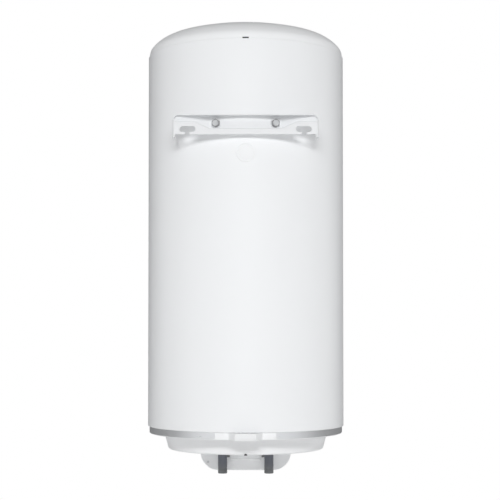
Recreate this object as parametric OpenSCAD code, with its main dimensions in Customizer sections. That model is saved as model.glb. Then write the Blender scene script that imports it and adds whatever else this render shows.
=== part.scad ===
// Wall-hung electric storage water heater, upright cylinder with pipes at the foot.
// Millimetres. The origin lies on the wall, midway between the two hanging slots;
// +Y points into the wall, +Z is up and the control cover faces -Y.

/* [Casing] */
// Outside diameter of the painted steel casing
casing_d = 433; // [380:1:470]
// Height of the casing between its two plastic caps
casing_h = 813.5; // [700:0.5:1200]
// Sheet thickness of the casing
casing_t = 0.8; // [0.6:0.1:1.2]
// Distance from the back of the casing to the wall
wall_gap = 18; // [14:0.5:30]
// Diameter of the disc that closes the foam filling hole
plug_d = 39; // [30:1:50]
// Height of the foam plug above the foot of the casing
plug_z = 576; // [200:1:590]

/* [Top cap] */
// Radial step from the casing in to the top cap
cap_step = 2.4; // [1.5:0.1:4]
// Height of the straight lip at the foot of the top cap
cap_lip = 5.7; // [5:0.1:9]
// Radius of the tight arc at the cap's rim
cap_rim_r = 21; // [12:0.5:26]
// Radius of the shoulder arc above the rim
cap_shoulder_r = 83.5; // [60:0.5:100]
// Wall of both plastic caps
cap_wall = 2.5; // [2:0.1:4]
// Width of the latch window in the cap's rim
latch_w = 13.4; // [8:0.1:20]

/* [Base cap] */
// Radial step from the casing in to the collar of the base cap
collar_step = 3.9; // [3:0.1:6]
// Height of the collar below the casing
collar_h = 15.6; // [12:0.1:25]
// Diameter of the skirt where it leaves the collar
skirt_d = 360.6; // [340:0.2:390]
// Inward lean of the skirt over its height
skirt_lean = 9.4; // [4:0.1:15]
// Height of the skirt below the collar
skirt_h = 35.4; // [30:0.1:60]
// Radius of the skirt's lower edge
skirt_edge_r = 5; // [2:0.5:8]
// Width of the face with which the lower spacer rests on the wall
spacer_w = 47.2; // [36:0.2:70]
// Width of the cable notch in the skirt's lower edge
notch_w = 7.7; // [5:0.1:10]

/* [Trim band] */
// Height of the metal trim band
band_h = 13.3; // [9:0.1:14.2]
// Sheet thickness of the trim band
band_t = 0.5; // [0.3:0.1:0.8]
// Width of the gap between the band's ends
band_gap = 126; // [80:1:160]

/* [Wall bracket] */
// Overall width of the pressed wall bracket
bracket_w = 300; // [290:1:330]
// Sheet thickness of the bracket
bracket_t = 2.5; // [2:0.1:3]
// Height of the front web below the shelf line at the ends
web_h = 26.7; // [24:0.1:30]
// Height of the bracket from the web's lower edge to the rim
bracket_h = 42.3; // [40:0.1:50]
// Outer radius of the rim's corners
bracket_corner_r = 12.5; // [8:0.5:18]
// Depth of the end ears from the wall
ear_depth = 40; // [25:1:50]
// How far the ears reach below the web
ear_drop = 5.1; // [2:0.1:12]
// Distance between the hanging slots
slot_spacing = 240; // [236:1:246]
// Height of the slots above the foot of the casing
slot_z = 623.4; // [620:0.1:1000]
// Length of a slot
slot_l = 31; // [26:0.5:34]
// Width of a slot
slot_w = 11.4; // [10.5:0.1:13]
// Width of the neck by which a wall screw enters the slot
neck_w = 10; // [8:0.1:10.4]
// Distance between the bracket bolts
bolt_spacing = 120; // [116:1:130]
// Thread diameter of the bracket bolts
bolt_d = 10; // [8:1:12]
// Size across the flats of the bolt heads
bolt_af = 17; // [15:0.5:18]
// Diameter of the bolts' washers
washer_d = 20; // [19:0.5:24]
// Thickness of the bolts' washers
washer_t = 2; // [1.5:0.1:3]

/* [Tank] */
// Thickness of the foam around the tank
foam_t = 24; // [18:0.5:28]
// Wall of the steel tank
tank_t = 2; // [1.5:0.1:3]
// Crown radius of the tank's domed ends
crown_r = 300; // [260:5:400]
// Knuckle radius of the tank's domed ends
knuckle_r = 35; // [25:1:50]
// Height of the tank's lowest point above the foot of the casing
tank_z = 12; // [10:0.5:16]
// Diameter of the bolt circle of the heater flange
flange_pcd = 96; // [94:0.5:98]
// Thickness of the heater flange plate
flange_t = 6; // [5:0.5:8]
// Length of the heating element inside the tank
element_l = 290; // [200:5:400]
// Diameter of the element's tube
element_d = 8; // [6:0.5:9]
// Length of the magnesium anode
anode_l = 320; // [200:5:420]
// Diameter of the magnesium anode
anode_d = 20; // [16:0.5:21]
// Length of the thermostat's sensor bulb
bulb_l = 90; // [60:1:120]
// Bend radius of the capillary tube
capillary_bend = 12; // [8:0.5:16]

/* [Pipes] */
// Outside diameter of the water pipes and their threads
pipe_d = 21; // [20:0.1:22]
// Bore of the water pipes
pipe_bore = 15; // [12:0.5:16]
// Distance between the cold and hot pipes
pipe_spacing = 100; // [96:1:104]
// Distance of the pipes from the tank's axis towards the wall
pipe_y = 74; // [72:0.5:80]
// How far the pipes reach below the base cap
pipe_drop = 48.2; // [40:0.1:70]
// Length of the threaded end of each pipe
thread_l = 13; // [10:0.5:18]

/* [Control cover] */
// Width of the control cover
cover_w = 197; // [180:1:210]
// Depth of the control cover from front to back
cover_d = 175; // [165:1:180]
// Height of the control cover
cover_h = 44; // [42:0.5:60]
// Distance of the cover's back from the tank's axis
cover_back = 55; // [54:0.5:57]
// Radius of the cover's lower corners
cover_corner_r = 40; // [20:1:41]
// Radius of the cover's front corners in plan
cover_front_r = 45; // [30:1:50]
// Wall of the control cover
cover_wall = 2.5; // [2:0.1:3]
// Width of the raised pad on the cover's back
pad_w = 63.2; // [50:0.2:66]
// Diameter of the temperature knob
knob_d = 34; // [26:0.5:36]
// Depth of the temperature knob
knob_l = 14; // [10:0.5:20]
// Diameter of the pilot lamp's lens
lamp_d = 8; // [6:0.5:10]
// Distance of the pilot lamp beside the knob
lamp_x = 36; // [30:1:44]

/* [Hidden] */
$fn = 96;

// Clearances: between seated pieces, and round a turning shaft
fit = 0.3;
running = 0.05;
// How far a cutting solid reaches past the face it cuts
over = 1;

// Casing and the planes it sets
casing_r = casing_d / 2;
casing_ri = casing_r - casing_t;
wall_y = casing_r + wall_gap;
cap_r = casing_r - cap_step;
collar_r = casing_r - collar_step;
skirt_r = skirt_d / 2;
base_z = -collar_h - skirt_h;
spigot_h = 12;
latch_h = 3;
curl_h = 1.5;

// Domed top cap: rim arc, shoulder arc and a crown whose centre lies on the axis
rim_angle = 41;
shoulder_angle = 73.4;
rim_cx = cap_r - cap_rim_r;
shoulder_cx = rim_cx - (cap_shoulder_r - cap_rim_r) * cos(rim_angle);
shoulder_cz = cap_lip - (cap_shoulder_r - cap_rim_r) * sin(rim_angle);
cap_crown_r = cap_shoulder_r + shoulder_cx / cos(shoulder_angle);
cap_crown_cz = shoulder_cz - (cap_crown_r - cap_shoulder_r) * sin(shoulder_angle);
cap_top = casing_h + cap_crown_cz + cap_crown_r;

// Bracket: heights of its lines above the foot of the casing
web_z = slot_z - 11.6;
rim_z = web_z + bracket_h;
shelf_end_z = web_z + web_h;
shelf_mid_z = web_z + 12.6;
shelf_x0 = 74;
shelf_x1 = 105;
shelf_slope = atan((shelf_end_z - shelf_mid_z) / (shelf_x1 - shelf_x0));
recess_x = bracket_w / 2 - bracket_t;
recess_top = rim_z - bracket_t;
recess_corner_r = bracket_corner_r - bracket_t;
panel_r = casing_r + fit + bracket_t;
pad_half = washer_d / 2 + 3;
pad_angle = asin(bolt_spacing / 2 / panel_r);
pad_along = [cos(pad_angle), -sin(pad_angle)];
pad_out = [sin(pad_angle), cos(pad_angle)];
wing_from = panel_r * pad_out + pad_half * pad_along;
wing_to = [recess_x, wall_y - 6];
wing_along = (wing_to - wing_from) / norm(wing_to - wing_from);
wing_out = [-wing_along[1], wing_along[0]];
ear_bend_r = 3.5;
ear_top_z = rim_z - bracket_corner_r;
bolt_z = (shelf_mid_z + recess_top) / 2 + 0.7;
bolt_head_h = bolt_d * 0.64;
boss_r = bolt_d;
boss_seat = panel_r - bracket_t - fit;
bolt_reach = 23;

// Tank and its flange
tank_r = casing_r - casing_t - foam_t;
crown_angle = asin((tank_r - knuckle_r) / (crown_r - knuckle_r));
dome_h = crown_r - (crown_r - knuckle_r) * cos(crown_angle);
tank_top = cap_top - cap_wall - foam_t;
neck_ri = flange_pcd / 2 - 11;
neck_tube_r = neck_ri + 4;
neck_ro = flange_pcd / 2 + 10;
neck_z0 = tank_z - 15;
neck_plate_t = 8;
gasket_t = 2;
flange_z1 = neck_z0 - gasket_t;
flange_z0 = flange_z1 - flange_t;
flange_bolts_n = 6;
flange_bolt_d = 8;
tab_t = 1.5;
pocket_d = 12;
pocket_at = [0, 14];
pocket_l = element_l - 40;
bulb_z = flange_z0 + pocket_l - bulb_l - 20;
bulb_d = 6.4;
capillary_d = 2.4;
element_legs = [[22, 16], [25, -4]];
anode_at = [0, -22];
anode_z0 = neck_z0 + 14;
stud_d = 8;

// Control cover and what it encloses
cover_z0 = base_z - cover_h;
cover_front = cover_back - cover_d;
cover_in_z = cover_z0 + cover_wall;
carrier_z1 = base_z - 3.5;
carrier_z0 = carrier_z1 - tab_t;
carrier_x = flange_pcd / 2 + 9;
part_gap_z = 2.5;
box_h = carrier_z0 - cover_in_z - part_gap_z;
knob_z = carrier_z0 - box_h / 2;
box_y = cover_front + cover_wall + fit;
spindle_d = 6;
spindle_in = 12;
thermostat_size = [44, 30, box_h];
cutout_size = [30, 34, 20];
cutout_at = [14, -48];
button_d = 6;
button_l = 7;
button_out = 3.5;
block_size = [36, 46, 18];
block_at = [-50, -54];
screw_x = 84;
screw_z = base_z - 25.6;
foot_screw_y = cover_front + 62;
access_r = flange_pcd / 2 + 17;
access_back = cover_back - cover_wall - 2.5;
seal_r = 16;

// Points of an arc about [cx, cy] from angle a0 to a1
function arc(cx, cy, r, a0, a1, n) =
    [for (i = [0 : n]) let (a = a0 + (a1 - a0) * i / n) [cx + r * cos(a), cy + r * sin(a)]];

// Where the line through p along u meets the line through q along v
function meet(p, u, q, v) =
    p + u * (((q - p)[0] * v[1] - (q - p)[1] * v[0]) / (u[0] * v[1] - u[1] * v[0]));

// The points followed by their mirror image in the vertical axis
function both_sides(pts) =
    concat(pts, [for (i = [len(pts) - 1 : -1 : 0]) [-pts[i][0], pts[i][1]]]);

// Everything is drawn about the tank's axis and moved to the frame on the wall
module hung() {
    translate([0, -wall_y, -slot_z]) children();
}

// A drawing in the XZ plane, given depth from y0 to y1
module upright(y0, y1) {
    translate([0, y1, 0]) rotate([90, 0, 0]) linear_extrude(y1 - y0) children();
}

// A round bar along Y from y0 to y1
module bar_y(d, y0, y1) {
    translate([0, y1, 0]) rotate([90, 0, 0]) cylinder(d = d, h = y1 - y0);
}

module mirrored_x() {
    children();
    mirror([1, 0, 0]) children();
}

// The two bolt axes, square to the casing: +Z of the children points away from the tank
module on_bolts(r) {
    mirrored_x() translate([0, 0, bolt_z]) rotate(-pad_angle) translate([0, r, 0])
        rotate([-90, 0, 0]) children();
}

// Copies placed evenly round the flange's bolt circle
module on_flange(from = 0) {
    for (i = [from : flange_bolts_n - 1])
        rotate(i * 360 / flange_bolts_n) translate([flange_pcd / 2, 0, 0]) children();
}

module tube(r_out, r_in, z0, z1) {
    difference() {
        translate([0, 0, z0]) cylinder(r = r_out, h = z1 - z0);
        translate([0, 0, z0 - over]) cylinder(r = r_in, h = z1 - z0 + 2 * over);
    }
}

module ring_slice(w, h) {
    translate([-w / 2, 0, 0]) cube([w, casing_d, h]);
}

// ---- Outside ----

module outer_casing() {
    color("white") hung() difference() {
        union() {
            tube(casing_r, casing_ri, 0, casing_h);
            tube(casing_ri + casing_t / 2, cap_r + fit, casing_h - curl_h, casing_h);
            tube(casing_ri + casing_t / 2, collar_r + fit, 0, curl_h);
        }
        on_bolts(tank_r) cylinder(r = boss_r + 1, h = wall_y - tank_r);
        translate([0, 0, plug_z]) bar_y(plug_d - 9, 0, wall_y);
    }
}

// Outline of the domed cap, moved inwards by off
function cap_outline(off) = concat(
    arc(rim_cx, casing_h + cap_lip, cap_rim_r - off, 0, rim_angle, 6),
    arc(shoulder_cx, casing_h + shoulder_cz, cap_shoulder_r - off, rim_angle, shoulder_angle, 8),
    arc(0, casing_h + cap_crown_cz, cap_crown_r - off, shoulder_angle, 90, 10));

module cap_solid(off, z0) {
    rotate_extrude() polygon(concat([[0, z0], [cap_r - off, z0]], cap_outline(off)));
}

module top_cap() {
    color("white") hung() difference() {
        union() {
            cap_solid(0, casing_h - spigot_h);
            // moulded eyebrow over the latch window
            intersection() {
                translate([0, 0, casing_h + 3.9]) ring_slice(latch_w, 1.2);
                cap_solid(-0.8, casing_h);
            }
        }
        cap_solid(cap_wall, casing_h - spigot_h - over);
        translate([0, 0, casing_h + 0.4]) ring_slice(latch_w, latch_h);
    }
}

module base_outline() {
    lip_r = 1.5;
    foot_r = skirt_r - skirt_lean;
    inner = cap_wall;
    polygon(concat(
        [[collar_r, spigot_h]],
        arc(collar_r - lip_r, -collar_h + lip_r, lip_r, 0, -90, 4),
        [[skirt_r, -collar_h]],
        arc(foot_r - skirt_edge_r, base_z + skirt_edge_r, skirt_edge_r, -14, -90, 6),
        [[0, base_z], [0, base_z + inner]],
        [[foot_r - skirt_edge_r, base_z + inner], [foot_r - inner, base_z + skirt_edge_r]],
        [[skirt_r - inner, -collar_h + inner], [collar_r - inner, -collar_h + inner]],
        [[collar_r - inner, spigot_h]]));
}

module spacer_outline() {
    flare = 10.4;
    polygon([[-spacer_w / 2, wall_y], [spacer_w / 2, wall_y],
             [spacer_w / 2 + flare, collar_r - 2], [-spacer_w / 2 - flare, collar_r - 2]]);
}

// The lower spacer is an open-topped box with two ribs
module wall_spacer() {
    wall = 2;
    pocket_w = [19, 13.7];
    difference() {
        translate([0, 0, -collar_h]) linear_extrude(collar_h - 0.4) spacer_outline();
        translate([0, 0, -collar_h - over]) cylinder(r = collar_r - 1, h = collar_h + 2 * over);
        translate([0, 0, -collar_h + wall]) {
            translate([-pocket_w[0] / 2, collar_r + wall, 0])
                cube([pocket_w[0], wall_gap + collar_step - 2 * wall, collar_h]);
            mirrored_x() translate([pocket_w[0] / 2 + wall, collar_r + wall, 0])
                cube([pocket_w[1] - wall, wall_gap + collar_step - 2 * wall, collar_h]);
        }
    }
}

module access_opening() {
    intersection() {
        circle(r = access_r);
        translate([-access_r, -access_r]) square([2 * access_r, access_r + access_back]);
    }
}

module base_cap() {
    color("white") hung() difference() {
        union() {
            rotate_extrude() base_outline();
            wall_spacer();
        }
        translate([0, 0, base_z - over]) linear_extrude(cap_wall + 2 * over) access_opening();
        mirrored_x() translate([pipe_spacing / 2, pipe_y, base_z - over])
            cylinder(d = pipe_d + 5, h = cap_wall + 2 * over);
        translate([0, 0, base_z]) bar_y(notch_w, skirt_r - 3 * skirt_lean, skirt_r);
    }
}

module trim_band() {
    z1 = -0.9;
    end_r = 4;
    color("silver") hung() difference() {
        tube(collar_r + 0.1 + band_t, collar_r + 0.1, z1 - band_h, z1);
        upright(0, wall_y) {
            translate([-band_gap / 2, z1 - band_h + end_r]) square([band_gap, band_h]);
            translate([-band_gap / 2 - end_r, z1 - band_h - over])
                square([band_gap + 2 * end_r, end_r + over]);
        }
    }
    // rounded lower corners of the two ends
    color("silver") hung() intersection() {
        tube(collar_r + 0.1 + band_t, collar_r + 0.1, z1 - band_h, z1);
        upright(0, wall_y) mirrored_x() translate([band_gap / 2 + end_r, z1 - band_h + end_r])
            circle(r = end_r);
    }
}

module foam_plug() {
    color("whitesmoke") hung() translate([0, 0, plug_z]) {
        intersection() {
            bar_y(plug_d, 0, wall_y);
            tube(casing_r + 1.3, casing_r + 0.1, -plug_d, plug_d, $fn = 360);
        }
        bar_y(plug_d - 9.6, casing_ri - 3, casing_r + 0.8);
    }
}

// ---- Wall bracket ----

// Half outline of the pressed recess, grown by g on every side
function recess_half(g) = concat(
    [[shelf_x0 + g * tan(shelf_slope / 2), shelf_mid_z - g],
     [shelf_x1 + g * tan(shelf_slope / 2), shelf_end_z - g],
     [recess_x + g, shelf_end_z - g]],
    arc(recess_x - recess_corner_r, recess_top - recess_corner_r, recess_corner_r + g, 0, 90, 8));

// Plan outline of the space behind the pressed panel, moved back by off: an arc on the
// casing, a flat pad square to each bolt and a wing that rises to the wall
function panel_half(off) = concat(
    [[bracket_w, 0],
     meet([bracket_w, 0], [0, 1], wing_to - off * wing_out, wing_along),
     meet(wing_from - off * wing_out, wing_along, (panel_r - off) * pad_out, pad_along)],
    arc(0, 0, panel_r - off, 90 - pad_angle, 90, 8));

module recess(g) {
    polygon(both_sides(recess_half(g)));
}

module behind_panel(off) {
    translate([0, 0, web_z - 50]) linear_extrude(150) polygon(both_sides(panel_half(off)));
}

module hanging_slot() {
    end_x = (slot_l - slot_w) / 2;
    translate([0, slot_z]) {
        for (s = [-1, 1]) translate([s * end_x, 0]) circle(d = slot_w);
        translate([-end_x, -slot_w / 2]) square([2 * end_x, slot_w]);
        translate([-neck_w / 2, -slot_w - over]) square([neck_w, slot_w + over]);
    }
}

module bracket_web() {
    half = bracket_w / 2;
    upright(wall_y - bracket_t, wall_y) difference() {
        union() {
            polygon(both_sides(concat([[half, ear_top_z]],
                arc(half - bracket_corner_r, ear_top_z, bracket_corner_r, 0, 90, 8))));
            translate([-half + ear_bend_r, web_z])
                square([bracket_w - 2 * ear_bend_r, ear_top_z - web_z]);
        }
        recess(0);
        mirrored_x() translate([slot_spacing / 2, 0]) hanging_slot();
    }
}

module bracket_ear() {
    cx = bracket_w / 2 - ear_bend_r;
    cy = wall_y - ear_bend_r;
    ri = ear_bend_r - bracket_t;
    z0 = web_z - ear_drop;
    translate([0, 0, z0]) linear_extrude(ear_top_z - z0) polygon(concat(
        arc(cx, cy, ear_bend_r, 90, 0, 6),
        [[cx + ear_bend_r, wall_y - ear_depth], [cx + ri, wall_y - ear_depth]],
        arc(cx, cy, ri, 0, 90, 6)));
}

// One pressing: a web against the wall, a recess pressed back on to the casing, two folded ears
module wall_bracket() {
    color("white") hung() difference() {
        union() {
            bracket_web();
            mirrored_x() bracket_ear();
            // side walls of the recess, from the panel to the wall plane
            difference() {
                upright(casing_r - ear_depth, wall_y) difference() {
                    recess(bracket_t);
                    recess(0);
                }
                behind_panel(bracket_t);
            }
            // the panel at the back of the recess
            intersection() {
                upright(casing_r - ear_depth, wall_y) recess(bracket_t);
                difference() {
                    behind_panel(0);
                    behind_panel(bracket_t);
                }
            }
        }
        on_bolts(tank_r) cylinder(d = bolt_d + 1, h = wall_y - tank_r);
    }
}

module bracket_washers() {
    color("gainsboro") hung() on_bolts(panel_r) tube(washer_d / 2, bolt_d / 2 + fit, 0, washer_t);
}

module bracket_bolts() {
    color("lightgray") hung() on_bolts(panel_r + washer_t) {
        rotate(30) cylinder(d = bolt_af / cos(30), h = bolt_head_h, $fn = 6);
        translate([0, 0, -bolt_reach]) cylinder(d = bolt_d, h = bolt_reach + 0.5);
    }
}

// ---- Tank ----

// Half outline of the tank, moved inwards by off
function tank_outline(off) = concat(
    arc(0, tank_z + crown_r, crown_r - off, -90, -90 + crown_angle, 8),
    arc(tank_r - knuckle_r, tank_z + dome_h, knuckle_r - off, -90 + crown_angle, 0, 6),
    arc(tank_r - knuckle_r, tank_top - dome_h, knuckle_r - off, 0, 90 - crown_angle, 6),
    arc(0, tank_top - crown_r, crown_r - off, 90 - crown_angle, 90, 8));

module tank_solid(off) {
    rotate_extrude() polygon(tank_outline(off));
}

module pipe_holes(d) {
    mirrored_x() translate([pipe_spacing / 2, pipe_y, 0]) cylinder(d = d, h = tank_z + dome_h);
}

module inner_tank() {
    color("steelblue") hung() difference() {
        tank_solid(0);
        tank_solid(tank_t);
        pipe_holes(pipe_d + 2 * fit);
        cylinder(r = neck_tube_r + fit, h = tank_z + dome_h);
    }
}

module tank_bosses() {
    color("darkgray") hung() difference() {
        on_bolts(tank_r - 2) cylinder(r = boss_r, h = boss_seat - tank_r + 2);
        translate([0, 0, bolt_z - 2 * boss_r]) cylinder(r = tank_r + fit, h = 4 * boss_r);
        on_bolts(boss_seat - bolt_reach) cylinder(d = bolt_d + 2 * running, h = bolt_reach + over);
    }
}

module foam_insulation() {
    color("khaki") hung() difference() {
        union() {
            translate([0, 0, spigot_h + 2])
                cylinder(r = casing_ri - fit, h = casing_h - 2 * spigot_h - 4);
            cap_solid(cap_wall + fit, casing_h - spigot_h - 2 - over);
        }
        tank_solid(-fit);
        cylinder(r = neck_ro + 2, h = tank_z + dome_h);
        pipe_holes(pipe_d + 2 * fit);
        on_bolts(tank_r - 3) cylinder(r = boss_r + fit, h = wall_y - tank_r);
        translate([0, 0, plug_z]) bar_y(plug_d - 9, casing_ri - 4, wall_y);
        // room behind the latch window
        translate([-latch_w, cap_r - 18, casing_h - 4]) cube([2 * latch_w, 20, 12]);
    }
}

module flange_neck() {
    color("slategray") hung() difference() {
        union() {
            tube(neck_ro, neck_ri, neck_z0, neck_z0 + neck_plate_t);
            tube(neck_tube_r, neck_ri, neck_z0, tank_z + 6);
        }
        translate([0, 0, neck_z0 - over]) on_flange()
            cylinder(d = flange_bolt_d + 2 * running, h = neck_plate_t + 2 * over);
    }
}

module flange_gasket() {
    color("black") hung()
        tube(flange_pcd / 2 - flange_bolt_d / 2 - 1, neck_ri + fit, flange_z1, neck_z0);
}

module flange_hole(d) {
    cylinder(d = d + 0.4, h = flange_t + 2 * over);
}

module flange_plate() {
    color("lightsteelblue") hung() difference() {
        translate([0, 0, flange_z0]) cylinder(r = neck_ro, h = flange_t);
        translate([0, 0, flange_z0 - over]) {
            on_flange() flange_hole(flange_bolt_d);
            mirrored_x() for (p = element_legs) translate(p) flange_hole(element_d);
            translate(pocket_at) flange_hole(pocket_d);
            translate(anode_at) flange_hole(stud_d);
        }
    }
}

module flange_washers() {
    color("gainsboro") hung() translate([0, 0, flange_z0 - tab_t])
        for (a = [60, 120, 240, 300]) rotate(a) translate([flange_pcd / 2, 0, 0])
            tube(flange_bolt_d, flange_bolt_d / 2 + 0.3, 0, tab_t);
}

module flange_bolts() {
    head_h = flange_bolt_d * 0.66;
    z0 = flange_z0 - tab_t;
    color("silver") hung() on_flange() {
        translate([0, 0, z0 - head_h]) cylinder(d = 13 / cos(30), h = head_h, $fn = 6);
        translate([0, 0, z0 - 0.5]) cylinder(d = flange_bolt_d, h = neck_z0 + neck_plate_t - z0);
    }
}

module heating_element() {
    color("peru") hung() for (i = [0, 1]) {
        leg = element_legs[i];
        top = neck_z0 + element_l - 30 * i;
        foot = flange_z0 - 6;
        translate([0, leg[1], 0]) {
            mirrored_x() translate([leg[0], 0, foot]) cylinder(d = element_d, h = top - foot);
            mirrored_x() translate([leg[0], 0, foot - 9]) cylinder(d = 3, h = 10);
            translate([0, 0, top]) rotate([90, 0, 0]) rotate_extrude(angle = 180)
                translate([leg[0], 0]) circle(d = element_d, $fn = 48);
        }
    }
}

module thermostat_pocket() {
    color("silver") hung() translate([pocket_at[0], pocket_at[1], 0]) difference() {
        translate([0, 0, flange_z0 - 2]) cylinder(d = pocket_d, h = pocket_l);
        translate([0, 0, flange_z0 - 2 - over]) cylinder(d = pocket_d - 3, h = pocket_l);
    }
}

module sensor_bulb() {
    color("goldenrod") hung() translate([pocket_at[0], pocket_at[1] + 1, 0])
        translate([0, 0, bulb_z]) cylinder(d = bulb_d, h = bulb_l);
}

module capillary_tube() {
    bend = capillary_bend;
    x = pocket_at[0];
    y = pocket_at[1] + 1;
    back = box_y + thermostat_size[1];
    color("goldenrod") hung() translate([x, 0, 0]) {
        translate([0, y, knob_z + bend])
            cylinder(d = capillary_d, h = bulb_z - knob_z - bend, $fn = 24);
        translate([0, y - bend, knob_z + bend]) rotate([0, 90, 0])
            rotate_extrude(angle = 90) translate([bend, 0]) circle(d = capillary_d, $fn = 24);
        translate([0, 0, knob_z]) bar_y(capillary_d, back, y - bend);
    }
}

module anode_rod() {
    color("lightgray") hung() translate([anode_at[0], anode_at[1], anode_z0]) difference() {
        cylinder(d = anode_d, h = anode_l);
        translate([0, 0, -over]) cylinder(d = stud_d + 2 * running, h = 20 + over);
    }
}

module anode_stud() {
    nut_h = 6;
    color("silver") hung() translate([anode_at[0], anode_at[1], 0]) {
        translate([0, 0, flange_z0 - nut_h - 2])
            cylinder(d = stud_d, h = anode_z0 + 18 - flange_z0 + nut_h + 2);
        translate([0, 0, flange_z0 - nut_h]) cylinder(d = 13 / cos(30), h = nut_h, $fn = 6);
        translate([0, 0, flange_z1]) cylinder(d = 14, h = anode_z0 - flange_z1);
    }
}

// ---- Pipes ----

module water_pipe(top) {
    z0 = base_z - pipe_drop;
    tube(pipe_d / 2 - 0.5, pipe_bore / 2, z0 + thread_l - 1, z0 + thread_l + 1);
    tube(pipe_d / 2, pipe_bore / 2, z0 + thread_l + 1, top);
    tube(pipe_d / 2, pipe_bore / 2, z0, z0 + thread_l - 1);
}

module cold_inlet_pipe() {
    color("dimgray") hung() translate([pipe_spacing / 2, pipe_y, 0]) water_pipe(tank_z + dome_h - 20);
}

module hot_outlet_pipe() {
    color("dimgray") hung() translate([-pipe_spacing / 2, pipe_y, 0]) water_pipe(tank_top - dome_h / 3);
}

// Slotted cap on the cold pipe that sends the water sideways
module inlet_diffuser() {
    top = tank_z + dome_h - 20;
    r = pipe_d / 2 + fit;
    color("ivory") hung() translate([pipe_spacing / 2, pipe_y, 0]) difference() {
        translate([0, 0, top - 12]) cylinder(r = r + 3, h = 32);
        translate([0, 0, top - 12 - over]) cylinder(r = r, h = 12 + over);
        translate([0, 0, top - over]) cylinder(r = pipe_bore / 2, h = 16);
        for (a = [0 : 45 : 135]) rotate(a) translate([-20, -1.5, top + 3]) cube([40, 3, 10]);
    }
}

// Grommets through the base cap, each with a half collar on the inner side
module pipe_seals() {
    color("black") hung() mirrored_x() translate([pipe_spacing / 2, pipe_y, 0]) {
        tube(pipe_d / 2 + 2.3, pipe_d / 2 + 0.2, base_z - 4, base_z + cap_wall + 2);
        intersection() {
            tube(seal_r, pipe_d / 2 + 0.2, base_z - 4, base_z - fit);
            translate([-2 * seal_r, -seal_r, base_z - 5]) cube([2 * seal_r, 2 * seal_r, 6]);
        }
    }
}

// ---- Control cover ----

// Front outline of the cover: a plate with two round lower corners, moved inwards by off
module cover_face(off) {
    half = cover_w / 2 - off;
    r = cover_corner_r - off;
    translate([-half, cover_z0 + cover_corner_r]) square([2 * half, cover_h - cover_corner_r + over]);
    translate([-half + r, cover_z0 + off]) square([2 * (half - r), cover_h]);
    for (s = [-1, 1]) translate([s * (half - r), cover_z0 + cover_corner_r]) circle(r = r);
}

// Plan outline of the cover, with round front corners, moved inwards by off
module cover_plan(off) {
    half = cover_w / 2 - off;
    r = cover_front_r - off;
    y0 = cover_front + off;
    y1 = cover_back - off;
    translate([-half, y0 + r]) square([2 * half, y1 - y0 - r]);
    translate([-half + r, y0]) square([2 * (half - r), y1 - y0]);
    for (s = [-1, 1]) translate([s * (half - r), y0 + r]) circle(r = r);
}

module cover_block(off, z1) {
    intersection() {
        upright(cover_front - over, cover_back + over) cover_face(off);
        translate([0, 0, cover_z0 - over]) linear_extrude(z1 - cover_z0 + over) cover_plan(off);
    }
}

module front_hole(d) {
    bar_y(d, cover_front - over, cover_front + 2 * cover_wall);
}

module screw_places() {
    translate([screw_x, cover_back, screw_z]) rotate([-90, 0, 0]) children();
    mirrored_x() translate([cover_w / 2 - 45, foot_screw_y, cover_z0]) rotate([180, 0, 0]) children();
}

module control_cover() {
    pad_h = 23;
    pad_out = 10;
    color("white") hung() difference() {
        union() {
            difference() {
                cover_block(0, base_z);
                cover_block(cover_wall, base_z + over);
            }
            // pad between the pipes
            translate([-pad_w / 2, cover_back - cover_wall, base_z - pad_h])
                cube([pad_w, cover_wall + pad_out, pad_h]);
            // sloping ledge along the pad's foot
            translate([-pad_w / 2 + 2, cover_back + pad_out, base_z - pad_h]) rotate([90, 0, 90])
                linear_extrude(pad_w - 4) polygon([[-1, 0], [3, 0], [3, 0.8], [0, 4.4], [-1, 4.4]]);
            // bosses behind the screws
            screw_places() translate([0, 0, -8 - cover_wall]) cylinder(d = 8, h = 8 + cover_wall / 2);
        }
        translate([-pad_w / 2 + cover_wall, cover_back - cover_wall - over, base_z - pad_h + cover_wall])
            cube([pad_w - 2 * cover_wall, pad_out + over, pad_h]);
        translate([0, 0, knob_z]) front_hole(spindle_d + 2);
        translate([-lamp_x, 0, knob_z]) front_hole(lamp_d + 2 * running);
        screw_places() translate([0, 0, -12]) cylinder(d = 3.4, h = 12 + over);
        screw_places() translate([0, 0, -1.6]) cylinder(d = 7, h = 2 + over);
    }
}

module cover_screws() {
    color("dimgray") hung() screw_places() {
        translate([0, 0, -1.5]) cylinder(d = 5, h = 1.2);
        translate([0, 0, -10]) cylinder(d = 3, h = 9);
    }
}

// Steel carrier clamped under two flange bolts, with the electrical parts below it
module component_carrier() {
    tab_w = 20;
    y0 = box_y + 2;
    y1 = 26;
    color("silver") hung() difference() {
        union() {
            mirrored_x() {
                translate([flange_pcd / 2 - 9, -tab_w / 2, flange_z0 - tab_t]) cube([18, tab_w, tab_t]);
                translate([carrier_x - tab_t, -tab_w / 2, carrier_z0])
                    cube([tab_t, tab_w, flange_z0 - carrier_z0]);
            }
            translate([-carrier_x, y0, carrier_z0]) cube([2 * carrier_x, y1 - y0, tab_t]);
        }
        for (s = [-1, 1]) translate([s * flange_pcd / 2, 0, flange_z0 - tab_t - over])
            cylinder(d = flange_bolt_d + 0.6, h = tab_t + 2 * over);
        translate([pocket_at[0], pocket_at[1] + 1, carrier_z0 - over])
            cylinder(d = 8, h = tab_t + 2 * over);
    }
}

module thermostat_body() {
    size = thermostat_size;
    color("tan") hung() difference() {
        translate([-size[0] / 2, box_y, carrier_z0 - size[2]]) cube(size);
        translate([0, 0, knob_z]) bar_y(spindle_d + 2 * running, box_y - over, box_y + spindle_in + 1);
        translate([0, 0, knob_z]) bar_y(capillary_d + 0.4, box_y + size[1] - 6, box_y + size[1] + over);
    }
}

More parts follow.
